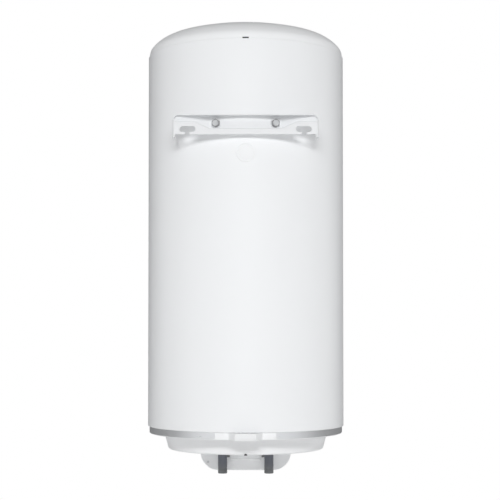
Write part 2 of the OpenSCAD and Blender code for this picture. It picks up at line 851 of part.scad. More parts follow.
module thermostat_spindle() {
    color("ivory") hung() translate([0, 0, knob_z])
        bar_y(spindle_d, cover_front - knob_l + 4, box_y + spindle_in);
}

// Knob with a grip bar across its face; its pointer rests at the start of the scale
module temperature_knob() {
    r = knob_d / 2;
    bar_w = 8;
    rest_angle = 135;
    color("gainsboro") hung() translate([0, cover_front - fit, knob_z]) rotate([90, 0, 0])
        rotate(rest_angle) difference() {
            union() {
                rotate_extrude() polygon([[0, 0], [r, 0], [r, 3], [r - 1.5, 4.5], [r - 4, 5], [0, 5]]);
                intersection() {
                    cylinder(r1 = r - 2, r2 = r - 4, h = knob_l);
                    translate([-bar_w / 2, -r, 0]) cube([bar_w, 2 * r, knob_l]);
                }
            }
            translate([0, 0, -over])
                cylinder(d = spindle_d + 2 * running, h = knob_l - 4 - fit + over);
            translate([-0.6, 3, knob_l - 1]) cube([1.2, r, over + 1]);
        }
}

module pilot_lamp() {
    color("orange") hung() translate([-lamp_x, 0, knob_z]) {
        bar_y(lamp_d, cover_front, cover_front + cover_wall + 2);
        bar_y(lamp_d + 3, cover_front - 1.2, cover_front);
    }
}

module lamp_holder() {
    y0 = cover_front + cover_wall + 2;
    color("black") hung() translate([-lamp_x, 0, knob_z]) bar_y(lamp_d + 4, y0, y0 + 16);
}

// Places its children over the middle of the cut-out's lower face
module at_cutout(z) {
    translate([cutout_at[0] + cutout_size[0] / 2, cutout_at[1] + cutout_size[1] / 2,
               carrier_z0 - cutout_size[2] + z]) children();
}

module safety_cutout() {
    color("dimgray") hung() difference() {
        translate([cutout_at[0], cutout_at[1], carrier_z0 - cutout_size[2]]) cube(cutout_size);
        at_cutout(-over) cylinder(d = button_d + 2 * fit, h = button_l + over);
    }
}

module reset_button() {
    color("red") hung() at_cutout(-button_out) cylinder(d = button_d, h = button_l);
}

// The two rows of three wells in the block's lower face
module on_terminals(z) {
    for (x = [9, 27], i = [0 : 2])
        translate([block_at[0] + x, block_at[1] + 10 + 13 * i, carrier_z0 - block_size[2] + z]) children();
}

module terminal_block() {
    size = block_size;
    color("white") hung() difference() {
        translate([block_at[0], block_at[1], carrier_z0 - size[2]]) cube(size);
        on_terminals(-over) cylinder(d = 6, h = 6 + over);
    }
}

module terminal_screws() {
    color("gold") hung() on_terminals(3) cylinder(d = 5, h = 3);
}

module earth_stud() {
    color("gold") hung() translate([carrier_x - 12, 12, carrier_z0 - 9]) {
        cylinder(d = 5, h = 9);
        translate([0, 0, 4]) cylinder(d = 8 / cos(30), h = 3.5, $fn = 6);
    }
}

outer_casing();
top_cap();
base_cap();
trim_band();
foam_insulation();
foam_plug();
wall_bracket();
bracket_washers();
bracket_bolts();
inner_tank();
tank_bosses();
flange_neck();
flange_gasket();
flange_plate();
flange_washers();
flange_bolts();
heating_element();
thermostat_pocket();
sensor_bulb();
capillary_tube();
anode_rod();
anode_stud();
cold_inlet_pipe();
inlet_diffuser();
hot_outlet_pipe();
pipe_seals();
control_cover();
cover_screws();
component_carrier();
thermostat_body();
thermostat_spindle();
temperature_knob();
pilot_lamp();
lamp_holder();
safety_cutout();
reset_button();
terminal_block();
terminal_screws();
earth_stud();
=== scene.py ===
# %% [markdown]
# # An electric storage water heater, seen from its wall side
#
# A painted steel cylinder hangs upright from a pressed bracket. A domed plastic cap closes its
# top, a stepped plastic cap its foot, and below that come two pipes and a control cover.
# Each shell here is worked out with numpy as rows and columns of points and then handed to
# Blender, and each finish is a small tree of shader nodes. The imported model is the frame: it
# says where every piece is, so nothing is placed by eye.

# %% Load the frame and keep its box
import math

import bmesh
import bpy
import numpy as np
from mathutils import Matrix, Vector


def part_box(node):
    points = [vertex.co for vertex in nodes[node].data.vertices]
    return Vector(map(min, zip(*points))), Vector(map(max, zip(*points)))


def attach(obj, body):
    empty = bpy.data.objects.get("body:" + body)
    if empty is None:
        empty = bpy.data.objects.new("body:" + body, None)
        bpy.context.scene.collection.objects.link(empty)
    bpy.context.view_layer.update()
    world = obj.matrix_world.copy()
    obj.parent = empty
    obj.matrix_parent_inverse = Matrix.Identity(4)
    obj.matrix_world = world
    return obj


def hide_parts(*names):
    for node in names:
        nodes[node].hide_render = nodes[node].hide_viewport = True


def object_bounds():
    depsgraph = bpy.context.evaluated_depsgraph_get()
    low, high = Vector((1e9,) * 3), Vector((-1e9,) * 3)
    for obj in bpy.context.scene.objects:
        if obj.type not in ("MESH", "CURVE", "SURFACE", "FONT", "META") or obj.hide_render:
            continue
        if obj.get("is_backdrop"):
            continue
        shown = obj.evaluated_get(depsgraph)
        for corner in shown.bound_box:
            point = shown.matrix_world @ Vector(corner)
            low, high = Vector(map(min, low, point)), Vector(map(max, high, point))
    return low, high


MM = 0.001
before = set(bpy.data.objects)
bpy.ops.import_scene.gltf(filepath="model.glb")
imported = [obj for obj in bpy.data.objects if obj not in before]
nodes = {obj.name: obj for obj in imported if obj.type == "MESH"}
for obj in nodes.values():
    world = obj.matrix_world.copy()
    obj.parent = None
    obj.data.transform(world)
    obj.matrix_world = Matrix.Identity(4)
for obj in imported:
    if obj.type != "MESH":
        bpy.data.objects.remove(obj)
cad_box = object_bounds()

# %% [markdown]
# ## Measures
#
# A drawing of a tank is made about its axis, with heights from the foot of the casing. The
# casing's box in the frame gives that axis, and each other box is read in the same way, in
# millimetres. `hang` brings points of the drawing back to their place on the wall.

# %% Measures taken from the frame
low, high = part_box("outer_casing")
AXIS_Y, FOOT = (low[1] + high[1]) / 2, low[2]


def drawn(node):
    """A node's two corners in millimetres about the tank's axis, height from the casing's foot."""
    corners = np.array([list(c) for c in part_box(node)])
    return (corners - [0, AXIS_Y, FOOT]) / MM


def hang(points):
    """The other way: drawing = (frame - axis) / MM, so frame = drawing * MM + axis."""
    return np.asarray(points, float) * MM + [0, AXIS_Y, FOOT]


CASING_R, _, CASING_H = drawn("outer_casing")[1]
WALL_Y = drawn("wall_bracket")[1, 1]
(_, _, BASE_Z), (COLLAR_R, _, _) = drawn("base_cap")
PIPE_X, PIPE_Y, _ = drawn("cold_inlet_pipe").mean(axis=0)
PIPE_FOOT = drawn("cold_inlet_pipe")[0, 2]
(_, COVER_FRONT, COVER_Z), (COVER_W, _, _) = drawn("control_cover")
print("casing radius %.1f, height %.1f, wall at %.1f mm" % (CASING_R, CASING_H, WALL_Y))

# %% [markdown]
# ## From points to a mesh
#
# Three helpers do most of the modelling. `grid` joins neighbouring points with four-sided
# faces. `rounded` turns the corners of an outline into arcs, because no moulded or pressed
# edge is truly sharp. `make` stacks grids into one mesh and turns its faces outwards.


# %% Grid, rounded outline and mesh
def circle(n):
    """n angles round a full turn, the first at 0."""
    return np.linspace(0, 2 * math.pi, n, endpoint=False)


def polar(r, a, z):
    """Points (r cos a, r sin a, z), from arrays that are stretched to one shape."""
    return np.stack(np.broadcast_arrays(r * np.cos(a), r * np.sin(a), z), -1)


def joined(*parts, axis=0):
    """Several arrays as one."""
    return np.concatenate(parts, axis)


def oblong(x0, x1, y0, y1):
    """The four corners of a rectangle, in order."""
    return [(x0, y0), (x1, y0), (x1, y1), (x0, y1)]


def grid(points, close_rows=False, lids=False):
    """Quad (i, j) joins points (i, j), (i, j+1), (i+1, j+1) and (i+1, j), and the last column
    meets the first. close_rows lets the last row meet the first, and lids puts one flat face
    on each of these two rows."""
    rows, columns = points.shape[:2]
    n = np.arange(rows * columns).reshape(rows, columns)
    faces = [n[0, ::-1].tolist(), n[-1].tolist()] if lids else []
    n = np.vstack([n, n[:1]]) if close_rows else n
    n = np.hstack([n, n[:, :1]])
    quads = np.stack([n[:-1, :-1], n[:-1, 1:], n[1:, 1:], n[1:, :-1]], -1)
    return points.reshape(-1, 3), quads.reshape(-1, 4).tolist() + faces


def rounded(corners, radii, steps=5):
    """Each corner becomes an arc that touches both sides. With half the corner's angle h, it
    starts r / tan h from the corner, and its centre lies r / sin h along the bisector. Points
    between are the weighted sum of both end directions that keeps their length at r."""

    def length(v):
        return np.linalg.norm(v, axis=-1, keepdims=True) + 1e-9

    p = np.asarray(corners, float)
    r = np.broadcast_to(np.asarray(radii, float), p.shape[:-1])[..., None]
    back, ahead = np.roll(p, 1, -2) - p, np.roll(p, -1, -2) - p
    len_back, len_ahead = length(back), length(ahead)
    back, ahead = back / len_back, ahead / len_ahead
    half = np.arccos(np.clip((back * ahead).sum(-1, keepdims=True), -0.9999, 0.9999)) / 2
    reach = np.minimum(r / np.tan(half), 0.49 * np.minimum(len_back, len_ahead))
    r = reach * np.tan(half)
    bisector = back + ahead
    bisector /= length(bisector)
    centre = p + bisector * r / np.sin(half)
    first, last = p + back * reach - centre, p + ahead * reach - centre
    s = np.linspace(0, 1, steps + 1)
    turn = (math.pi - 2 * half)[..., None, :]
    weight = np.sin((1 - s)[:, None] * turn) * first[..., None, :]
    weight = weight + np.sin(s[:, None] * turn) * last[..., None, :]
    arcs = centre[..., None, :] + weight / np.sin(turn)
    return arcs.reshape(*p.shape[:-2], -1, 2)


def shell(mesh):
    """Merges points closer than a hundredth of a millimetre, drops what has no area and turns
    the faces so that the enclosed volume is positive."""
    bm = bmesh.new()
    bm.from_mesh(mesh)
    bmesh.ops.remove_doubles(bm, verts=bm.verts, dist=1e-5)
    bmesh.ops.dissolve_degenerate(bm, edges=bm.edges, dist=2e-6)
    bmesh.ops.delete(bm, geom=[e for e in bm.edges if not e.link_faces], context="EDGES")
    bmesh.ops.recalc_face_normals(bm, faces=bm.faces)
    if bm.calc_volume(signed=True) < 0:
        bmesh.ops.reverse_faces(bm, faces=bm.faces)
    bm.to_mesh(mesh)
    bm.free()


def smooth(obj, sharp=32):
    """Smooth shading, except across edges that turn by more than sharp degrees."""
    obj.data.shade_smooth()
    obj.data.set_sharp_from_angle(angle=math.radians(sharp))


def placed(name, data):
    """A new object with that mesh, lamp or camera, linked to the scene."""
    obj = bpy.data.objects.new(name, data)
    bpy.context.scene.collection.objects.link(obj)
    return obj


def make(name, *grids, sharp=32):
    """One object from several grids drawn in millimetres, each a closed shell of its own."""
    points = hang(joined(*[g[0] for g in grids]))
    starts = np.cumsum([0] + [len(g[0]) for g in grids[:-1]])
    faces = [[int(s) + i for i in f] for s, g in zip(starts, grids) for f in g[1]]
    mesh = bpy.data.meshes.new(name)
    mesh.from_pydata(points.tolist(), [], faces)
    shell(mesh)
    obj = placed(name, mesh)
    smooth(obj, sharp)
    return obj


print("helpers ready")

# %% [markdown]
# ## Turned, lofted and cut shapes
#
# Most parts of a tank are turned about an axis, or are a flat outline given some depth. Holes
# are cut with a Boolean modifier, and crisp edges are eased with a Bevel modifier, because a
# bevelled edge catches the light as a real one does.


# %% Turned, extruded and cut shapes
def turned(profile, n=256, x=0.0, y=0.0):
    """Each point (r, z) of a closed profile runs round the axis: x + r cos a, y + r sin a, z."""
    r, z = np.asarray(profile, float).T[..., None]
    return grid(polar(r, circle(n), z) + [x, y, 0], close_rows=True)


def plate(outline, a, b, along="z"):
    """A flat outline repeated at depth a and at depth b, with the two ends closed."""
    outline = np.asarray(outline, float)
    depth = np.array([a, b], float)[:, None] + 0 * outline[:, 0]
    u, v = np.broadcast_to(outline.T[:, None], (2, *depth.shape))
    order = {"z": [u, v, depth], "y": [u, depth, v], "x": [depth, u, v]}[along]
    return grid(np.stack(order, -1), lids=True)


def loft(outlines, heights):
    """Joins one outline at each height, and closes both ends."""
    z = np.asarray(heights, float)[:, None, None] + 0 * outlines[..., :1]
    return grid(joined(outlines, z, axis=-1), lids=True)


def settle(obj):
    """The mesh that the modifiers give becomes the object's own mesh."""
    bpy.context.view_layer.update()
    seen = bpy.context.evaluated_depsgraph_get()
    mesh = bpy.data.meshes.new_from_object(obj.evaluated_get(seen), depsgraph=seen)
    obj.modifiers.clear()
    obj.data = mesh
    return obj


def cut(obj, *tools, operation="DIFFERENCE"):
    """Takes each tool's volume away from obj, or joins it on, and throws the tools away."""
    for tool in tools:
        modifier = obj.modifiers.new("cut", "BOOLEAN")
        modifier.operation, modifier.object, modifier.solver = operation, tool, "EXACT"
    settle(obj)
    for tool in tools:
        bpy.data.objects.remove(tool)
    smooth(obj)
    return obj


def ease(obj, width, segments=2):
    """Bevels every edge that turns by more than 40 degrees, width in millimetres."""
    bevel = obj.modifiers.new("ease", "BEVEL")
    bevel.width, bevel.segments, bevel.limit_method = width * MM, segments, "ANGLE"
    bevel.angle_limit = math.radians(40)
    settle(obj)
    smooth(obj)
    return obj


def arc(cx, cz, r, a0, a1, n=10):
    """Points (cx + r cos a, cz + r sin a) for a from a0 to a1 degrees."""
    a = np.radians(np.linspace(a0, a1, n))
    return np.stack([cx + r * np.cos(a), cz + r * np.sin(a)], -1)


print("shapes ready")

# %% [markdown]
# ## Shader maths as plain expressions
#
# A finish is easier to read as `0.3 + 0.1 * noise` than as a chain of nodes. The class `Wire`
# wraps an output socket, and its operators add the Math node that does the sum. Numbers that
# are the same all over a piece go straight on to the shader's own sockets.


# %% A wire that understands + - * and **
def sums(kind):
    """An operator of Wire that adds a Math node of that kind."""
    return lambda self, other: self.tree.node("Math", {0: self, 1: other}, operation=kind).out()


class Wire:
    """An output socket in a tree, with operators that add Math nodes."""

    def __init__(self, tree, socket):
        self.tree, self.socket = tree, socket

    __add__ = __radd__ = sums("ADD")
    __mul__ = __rmul__ = sums("MULTIPLY")
    __sub__, __pow__ = sums("SUBTRACT"), sums("POWER")

    def between(self, a, b):
        """0 below a, 1 above b, and a smooth step from one to the other."""
        values = {"Value": self, "From Min": a, "From Max": b}
        return self.tree.node("MapRange", values, interpolation_type="SMOOTHSTEP").out()


class Node:
    """A node whose inputs are set by name or number, with values or with wires."""

    def __init__(self, tree, node):
        self.tree, self.node = tree, node

    def give(self, values):
        for key, value in values.items():
            socket = self.node.inputs[key]
            if isinstance(value, Wire):
                self.tree.links.new(value.socket, socket)
            else:
                socket.default_value = value
        return self

    def out(self, key=0):
        return Wire(self.tree, self.node.outputs[key])


class Tree:
    """A node tree that adds any node from its type, its inputs and its settings."""

    def __init__(self, owner):
        owner.use_nodes = True
        self.owner, tree = owner, owner.node_tree
        self.nodes, self.links = tree.nodes, tree.links
        self.nodes.clear()

    def node(self, kind, values=None, **settings):
        added = self.nodes.new("ShaderNode" + kind)
        for key, value in settings.items():
            setattr(added, key, value)
        return Node(self, added).give(values or {})

    def surface(self, shader, kind="Material"):
        """Sends a shader to the output of a material, a lamp or a world."""
        self.node("Output" + kind, {"Surface": shader.out()})

    def place(self, scale=(1, 1, 1), shift=(0, 0, 0)):
        """Object coordinates in metres, stretched and moved by a Mapping node."""
        seen = self.node("TexCoord").out("Object")
        return self.node("Mapping", {"Vector": seen, "Scale": scale, "Location": shift}).out()

    def axes(self, where=None):
        """A node whose outputs X, Y and Z are the parts of a point or a direction."""
        return self.node("SeparateXYZ", {0: where or self.place()})

    def noise(self, size, detail, where=None):
        """A soft random field whose blobs are about size millimetres across."""
        values = {"Scale": 1 / (size * MM), "Detail": detail, "Vector": where or self.place()}
        return self.node("TexNoise", values).out(0)

    def mix(self, amount, a, b):
        """Colour a where amount is 0 and colour b where it is 1."""
        mixer = self.node("Mix", {"Factor": amount}, data_type="RGBA")
        colours = {6: a, 7: b}
        colours = {k: v if isinstance(v, Wire) else (*v, 1) for k, v in colours.items()}
        return mixer.give(colours).out(2)

    def bump(self, height, depth):
        """Tilts the shading normal as a relief of depth millimetres would."""
        return self.node("Bump", {"Height": height, "Distance": depth * MM}).out()


print("wires ready")

# %% [markdown]
# ## One shader for every finish
#
# Paint, plastic, metal and rubber all come from the Principled shader. `finish` sets its fixed
# numbers and links whatever varies: the colour, the roughness and the normal. Most recipes have
# the same form, which `tones` writes out: two near tones in soft patches, and a fine grain.


# %% Finish and fitting
def finish(name, recipe, **fixed):
    """A material. recipe(tree) returns the links for the varying sockets, and fixed holds the
    sockets with one value all over, with _ for a space."""
    tree = Tree(bpy.data.materials.new(name))
    shader = tree.node("BsdfPrincipled")
    shader.give({key.replace("_", " "): value for key, value in fixed.items()})
    shader.give(recipe(tree))
    tree.surface(shader)
    return tree.owner


def tones(light, dark, patch, dust, relief):
    """A recipe from three random fields. patch is (size, detail) of the one that mixes the two
    tones. dust is (size, detail, least, more), for a roughness of least + more * noise. relief
    is (size, detail, depth). Sizes and depth are in millimetres."""

    def recipe(tree):
        return {
            "Base Color": tree.mix(tree.noise(*patch), light, dark),
            "Roughness": dust[2] + dust[3] * tree.noise(*dust[:2]),
            "Normal": tree.bump(tree.noise(*relief[:2]), relief[2]),
        }

    return recipe


def fit(obj, material, slot, *stands_for, body="heater"):
    """Paints a piece, lets it ride on a body, and hides the nodes that it stands for."""
    obj.data.materials.clear()
    obj.data.materials.append(material)
    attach(obj, body)
    if stands_for:
        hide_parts(*stands_for)
    print("%-16s %6d faces" % (obj.name, len(obj.data.polygons)))
    return obj

# %% [markdown]
# ## White enamel, moulded plastic
#
# Powder paint on rolled sheet is a slightly cool white. Under its gloss lies a faint orange
# peel a few millimetres across, and the sheet below is never perfectly round. The caps are
# moulded: the same white with a finer spark-eroded grain and less gloss. Neither has a clear
# coat: the darker rim that a glossy white body shows comes from what it reflects.


# %% Whites
def enamel(tree):
    peel = tree.noise(3.5, 2)
    sheet = tree.noise(90, 1, tree.place((1, 1, 0.35)))
    dust = tree.noise(0.9, 3)
    return {
        "Base Color": tree.mix(sheet, (0.872, 0.884, 0.898), (0.886, 0.897, 0.908)),
        "Roughness": 0.26 + 0.08 * dust,
        "Normal": tree.bump(0.75 * peel + 0.25 * sheet, 0.012),
    }


white, bright = (0.868, 0.878, 0.890), (0.884, 0.893, 0.902)
moulded = tones(white, bright, (45, 2), (0.55, 2, 0.36, 0.10), (0.55, 2, 0.006))
WHITE_ENAMEL = finish("white_enamel", enamel, IOR=1.5)
WHITE_PLASTIC = finish("white_plastic", moulded, IOR=1.49)


def white(obj, *stands_for, body="heater"):
    """Fits a piece that is moulded in white."""
    fit(obj, WHITE_PLASTIC, "white_plastic", *stands_for, body=body)


print("whites ready")

# %% [markdown]
# ## The casing
#
# A sheet of steel 0.8 mm thick is rolled to a cylinder, and both its edges are curled inwards
# to grip the caps. A turned profile is enough: the wall, the two curls and the inner face.

# %% Casing
cap_r = drawn("top_cap")[1, 0]
steel_t, play, curl, seam_z, foot_z = 0.8, 0.3, 1.5, CASING_H + 0.6, -0.6
casing_profile = rounded(
    [
        (CASING_R, foot_z),
        (CASING_R, seam_z),
        (cap_r + play, seam_z),
        (cap_r + play, seam_z - curl),
        (CASING_R - steel_t, seam_z - curl),
        (CASING_R - steel_t, foot_z + curl),
        (COLLAR_R + play, foot_z + curl),
        (COLLAR_R + play, foot_z),
    ],
    [1.3, 1.3, 0.4, 0.3, 0.2, 0.2, 0.3, 0.4],
)
casing = make("casing_shell", turned(casing_profile, 288))
fit(casing, WHITE_ENAMEL, "white_enamel", "outer_casing")

# %% [markdown]
# ## The domed cap
#
# The cap's outline is a tight arc at the rim, a wider shoulder and a flat crown, each tangent
# to the next. Just above the casing's edge a fine groove runs round it. One small window in
# the rim lets a clip of the casing snap in, coloured dark to paint the shade inside the
# window, and a moulded eyebrow keeps drips out.


# %% Top cap
def cap_line(off):
    """Rim, shoulder and crown arcs, all moved inwards by off. Each centre lies on the line
    through the last arc's centre and the point where the two meet."""
    rim_r, rim_a, shoulder_r, shoulder_a, lip = 21.0, 41.0, 83.5, 73.4, 5.7
    rim_x = cap_r - rim_r
    dx, dz = math.cos(math.radians(rim_a)), math.sin(math.radians(rim_a))
    sx, sz = rim_x - (shoulder_r - rim_r) * dx, lip - (shoulder_r - rim_r) * dz
    ex, ez = math.cos(math.radians(shoulder_a)), math.sin(math.radians(shoulder_a))
    crown_r = shoulder_r + sx / ex
    crown_z = sz - (crown_r - shoulder_r) * ez
    return [0, CASING_H] + joined(
        arc(rim_x, lip, rim_r - off, 0, rim_a, 14),
        arc(sx, sz, shoulder_r - off, rim_a, shoulder_a, 16)[1:],
        arc(0, crown_z, crown_r - off, shoulder_a, 90, 22)[1:],
    )


wall, spigot_h = 2.5, 12
neck = [(0, 0), (-0.6, 0.05), (-0.6, 0.75), (0, 0.95)] + np.array([cap_r, seam_z])
rim = [(cap_r - wall, CASING_H - spigot_h), (cap_r, CASING_H - spigot_h)]
cap_profile = joined(rim, neck, cap_line(0), cap_line(wall)[::-1])
cap = make("domed_cap", turned(cap_profile, 288))
latch_half = 6.7
window = oblong(-latch_half, latch_half, 190, 230)
cut(cap, make("window", plate(window, seam_z + 0.4, seam_z + 3.4)))
clip_half, back = latch_half - 0.4, cap_r - wall - play
clip = oblong(-clip_half, clip_half, back - 0.8, back)
clip = make("latch_clip_shade", plate(clip, seam_z - 6, seam_z + 4))
brow_half = latch_half + 0.2
turn = math.pi / 2 + np.linspace(-brow_half, brow_half, 13)[:, None] / cap_r
lean = circle(12)
brow = polar(cap_r - 0.1 + 0.85 * np.cos(lean), turn, seam_z + 4.5 + 0.6 * np.sin(lean))
eyebrow = make("eyebrow", grid(brow, lids=True))
white(cap, "top_cap")
white(eyebrow)

# %% [markdown]
# ## The stepped base cap
#
# Below the casing the base cap shows a narrow collar, then a deep skirt that leans inwards, and
# a flat floor. The floor has one large opening to the heater flange and two holes for the
# pipes, and the skirt's lower edge has a small arch where a cable can enter.

# %% Base cap
skirt_r, foot_r, collar_z = 180.3, 170.9, -16.2
base_profile = rounded(
    [
        (0, BASE_Z),
        (foot_r, BASE_Z),
        (skirt_r, collar_z),
        (COLLAR_R, collar_z),
        (COLLAR_R, spigot_h),
        (COLLAR_R - wall, spigot_h),
        (COLLAR_R - wall, collar_z + wall),
        (skirt_r - wall, collar_z + wall),
        (foot_r - wall, BASE_Z + wall),
        (0, BASE_Z + wall),
    ],
    [0, 5, 1.2, 1.5, 0.6, 0.6, 0.8, 1, 3, 0],
)
base = make("base_shell", turned(base_profile, 288))
opening_r, hole_r, arch_top = 65, 13, -47.9
opening = np.minimum(arc(0, 0, opening_r, -217, 37, 65), [opening_r, 50])
tools = [make("opening", plate(opening, BASE_Z - 2, BASE_Z + 4))]
hole = oblong(0, hole_r, BASE_Z - 2, BASE_Z + 4)
tools += [make("hole", turned(hole, 48, side * PIPE_X, PIPE_Y)) for side in (-1, 1)]
arch = [(-3.9, BASE_Z - 1), (3.9, BASE_Z - 1), (1.8, arch_top), (-1.8, arch_top)]
tools.append(make("arch", plate(rounded(arch, [0, 0, 1.6, 1.6]), 150, 200, along="y")))
POCKETS = ((-28.0, -10.8), (-8.4, 8.4), (10.8, 28.0))
mouths = [plate(oblong(x0, x1, 200, 216), collar_z + 4, -1.2) for x0, x1 in POCKETS]
tools += [make("mouth", mouth) for mouth in mouths]
cut(base, *tools)
white(base, "base_cap")

# %% [markdown]
# ## The spacer that meets the wall
#
# A block moulded on the back of the base cap keeps the tank upright against the wall. It is
# cored out from above, so that all its walls cool alike, and two ribs stay between the pockets,
# which open through the collar. Its face leans back towards the foot, as the mould's draft
# asks, and its flanks run into the collar in a wide fillet: one outline at each of two heights.

# %% Spacer
draft, face_half, flank_t = 7.0, 21.8, 1.6
face = np.stack([[[-face_half, y], [face_half, y]] for y in (WALL_Y - draft, WALL_Y)])
feet = np.array([[31.6, 213.2], [39, 206], [-39, 206], [-31.6, 213.2]]) + np.zeros((2, 1, 1))
block = rounded(joined(face, feet, axis=1), [0.8, 0.8, 9, 0, 0, 9], 7)
spacer = make("wall_spacer", loft(block, [collar_z, -0.9]))
pockets = []
for x0, x1 in POCKETS:
    near0, near1 = np.clip([x0, x1], flank_t - face_half, face_half - flank_t)
    pocket = [(x0, 208), (x1, 208), (near1, 229.5), (near0, 229.5)]
    pockets.append(make("pocket", plate(rounded(pocket, 0.8, 3), -9, 5)))
cut(spacer, *pockets)
ease(spacer, 0.5)
blind = plate(oblong(-31, 31, 194, 196), collar_z + 3, 1)
white(spacer)
white(make("pocket_backs", blind))

# %% [markdown]
# ## The trim band
#
# A strip of satin metal is sprung round the collar, and its ends stop short of the spacer. Its
# face is crowned by a tenth of a millimetre, which draws one long highlight along it. The
# lower corner of each end is rounded, so the strip is a grid whose ends depend on the height.


# %% Trim band
def satin(tree):
    rolled = tree.noise(1.1, 3, tree.place((0.04, 0.04, 1.0)))
    haze = tree.noise(30, 2)
    return {
        "Base Color": tree.mix(haze, (0.80, 0.81, 0.825), (0.86, 0.865, 0.875)),
        "Roughness": 0.24 + 0.12 * rolled,
        "Normal": tree.bump(rolled, 0.004),
    }


TRIM_METAL = finish("trim_metal", satin, Metallic=0.78)
band_low, band_high = collar_z + 1.5, foot_z - 0.05
band_r, band_gap, corner = drawn("trim_band")[1, 0], 63.0, 4.0
rise = corner * (1 - np.cos(np.linspace(0, math.pi / 2, 9)))
rise = joined(rise, np.linspace(corner, band_high - band_low, 8)[1:])
crown = 0.14 * (2 * rise / rise[-1] - 1) ** 2
section_r = joined(band_r - crown, np.full(len(rise), band_r - 0.5))
section_h = joined(rise, rise[::-1])
notch = np.where(section_h < corner, corner - section_h, 0)
end_x = band_gap + corner - np.sqrt(corner**2 - notch**2)
reach = math.pi - np.arcsin(end_x / band_r)
along = -math.pi / 2 + np.linspace(-1, 1, 260)[:, None] * reach
strip = polar(section_r, along, band_low + section_h)
band = make("trim_strip", grid(strip, lids=True))
fit(band, TRIM_METAL, "trim_metal", "trim_band")

# %% [markdown]
# ## The foam plug
#
# Foam is blown in through a hole in the casing, and a shallow disc with one ring groove closes
# it. The disc is a polar grid: its height over the casing depends on the distance from its
# middle, and the whole is bent round the casing.

# %% Foam plug
plug = drawn("foam_plug")
rho = [0, 0.35, 0.70, 0.735, 0.75, 0.77, 0.785, 0.82, 0.92, 0.965, 0.99, 1, 1, 0]
rise = [1.25, 1.24, 1.2, 1.15, 0.8, 0.8, 1.15, 1.2, 1.2, 1.05, 0.75, 0.4, 0.1, 0.1]
r, out = plug[1, 0] * np.array(rho)[:, None], CASING_R + np.array(rise)[:, None]
a = circle(96)
disc_x, disc_z = r * np.cos(a), plug[:, 2].mean() + r * np.sin(a)
disc_y = np.sqrt(out**2 - disc_x**2)
disc = make("plug_disc", grid(np.stack([disc_x, disc_y, disc_z], -1)))
PLUG_PLASTIC = finish("plug_plastic", moulded, IOR=1.49)
fit(disc, PLUG_PLASTIC, "plug_plastic", "foam_plug")

# %% [markdown]
# ## The wall bracket
#
# One sheet of steel, 2.5 mm thick, is pressed so that its middle sits on the casing while its
# web stays in the plane of the wall. Across the bracket every section is the same closed path:
# up the web, in along the shelf, up the panel, out along the rim, and back down behind. Only
# the depth of the panel and the height of the shelf change from one section to the next, so
# ten corners per column, rounded as a press rounds them, give the whole sheet.

# %% Lines of the pressing
WEB_Z, SHEET_T, BEND, PAD_HALF = 611.5, 2.5, 4.5, 13
half_w, _, rim_z = drawn("wall_bracket")[1] - [0, 0, 0.6]
bolt_x, bolt_z = 60.7, drawn("bracket_bolts")[:, 2].mean() - 1.1
panel_r = CASING_R + 0.3 + SHEET_T
bolt_turn = math.asin(bolt_x / panel_r)
pad_y = panel_r * math.cos(bolt_turn)
fine = np.linspace(0, 160, 2561)


def eased(values, width):
    """A line drawn with corners becomes a pressed line: each point is the mean of its
    neighbours within width millimetres, and the line is even about x = 0."""
    n = int(width / (fine[1] - fine[0])) | 1
    padded = np.pad(joined(values[:0:-1], values), n // 2, mode="edge")
    return np.convolve(padded, np.ones(n) / n, mode="valid")[len(values) - 1 :]


pad_end = bolt_x + PAD_HALF * math.cos(bolt_turn)
on_arc = np.sqrt(panel_r**2 - np.minimum(fine, bolt_x) ** 2)
on_pad = pad_y - (fine - bolt_x) * math.tan(bolt_turn)
pad_low = pad_y - (pad_end - bolt_x) * math.tan(bolt_turn)
on_wing = np.interp(fine, [pad_end, half_w - SHEET_T], [pad_low, WALL_Y - 6])
panel_line = np.where(fine < bolt_x, on_arc, np.where(fine < pad_end, on_pad, on_wing))
panel_line = eased(panel_line, 6)
shelf_line = eased(np.interp(fine, [74, 105], [WEB_Z + 12.6, WEB_Z + 26.7]), 7)
print("bolt pads %.1f mm from the wall" % (WALL_Y - pad_y))

# %% Sections of the pressing
CORNER_R, INNER_R = 12.5, 10.0
ear_z, foot_x, recess_x = rim_z - CORNER_R, half_w - BEND, half_w - SHEET_T


def pressing(x, foot):
    """One section of the sheet for each x. The rim falls as a quarter circle of CORNER_R, the
    recess's top as one of INNER_R inside it, and past the recess's end the panel is flush."""
    over = np.clip(abs(x) - (half_w - CORNER_R), 0, CORNER_R)
    rim = ear_z + np.sqrt(CORNER_R**2 - over**2)
    drop = INNER_R - np.sqrt(INNER_R**2 - np.clip(abs(x) - recess_x + INNER_R, 0, INNER_R) ** 2)
    shelf = np.maximum(np.interp(abs(x), fine, shelf_line), foot + 0.3)
    inside = np.maximum(rim_z - SHEET_T - drop, shelf + 0.1)
    inside = np.minimum(inside, rim - 0.05)
    shelf = np.minimum(shelf, inside - 0.05)
    panel = np.where(abs(x) < recess_x + 0.05, np.interp(abs(x), fine, panel_line), WALL_Y - 0.05)
    front, back, foot = np.full(len(x), WALL_Y), np.full(len(x), WALL_Y - SHEET_T), 0 * x + foot
    under = np.maximum(shelf - SHEET_T, foot)
    behind = panel - SHEET_T
    path_y = [front, front, panel, panel, front, front, behind, behind, back, back]
    path_z = [foot, shelf, shelf, inside, inside, rim, rim, under, under, foot]
    corners = np.stack([np.stack(path_y, -1), np.stack(path_z, -1)], -1)
    section = rounded(corners, [0.5, 2.2, 1.6, 1.6, 0.5, 0.6, 3.6, 3.6, 1.2, 0.5], 5)
    sheet = joined(x[:, None, None] + 0 * section[..., :1], section, axis=-1)
    return grid(sheet, lids=True)


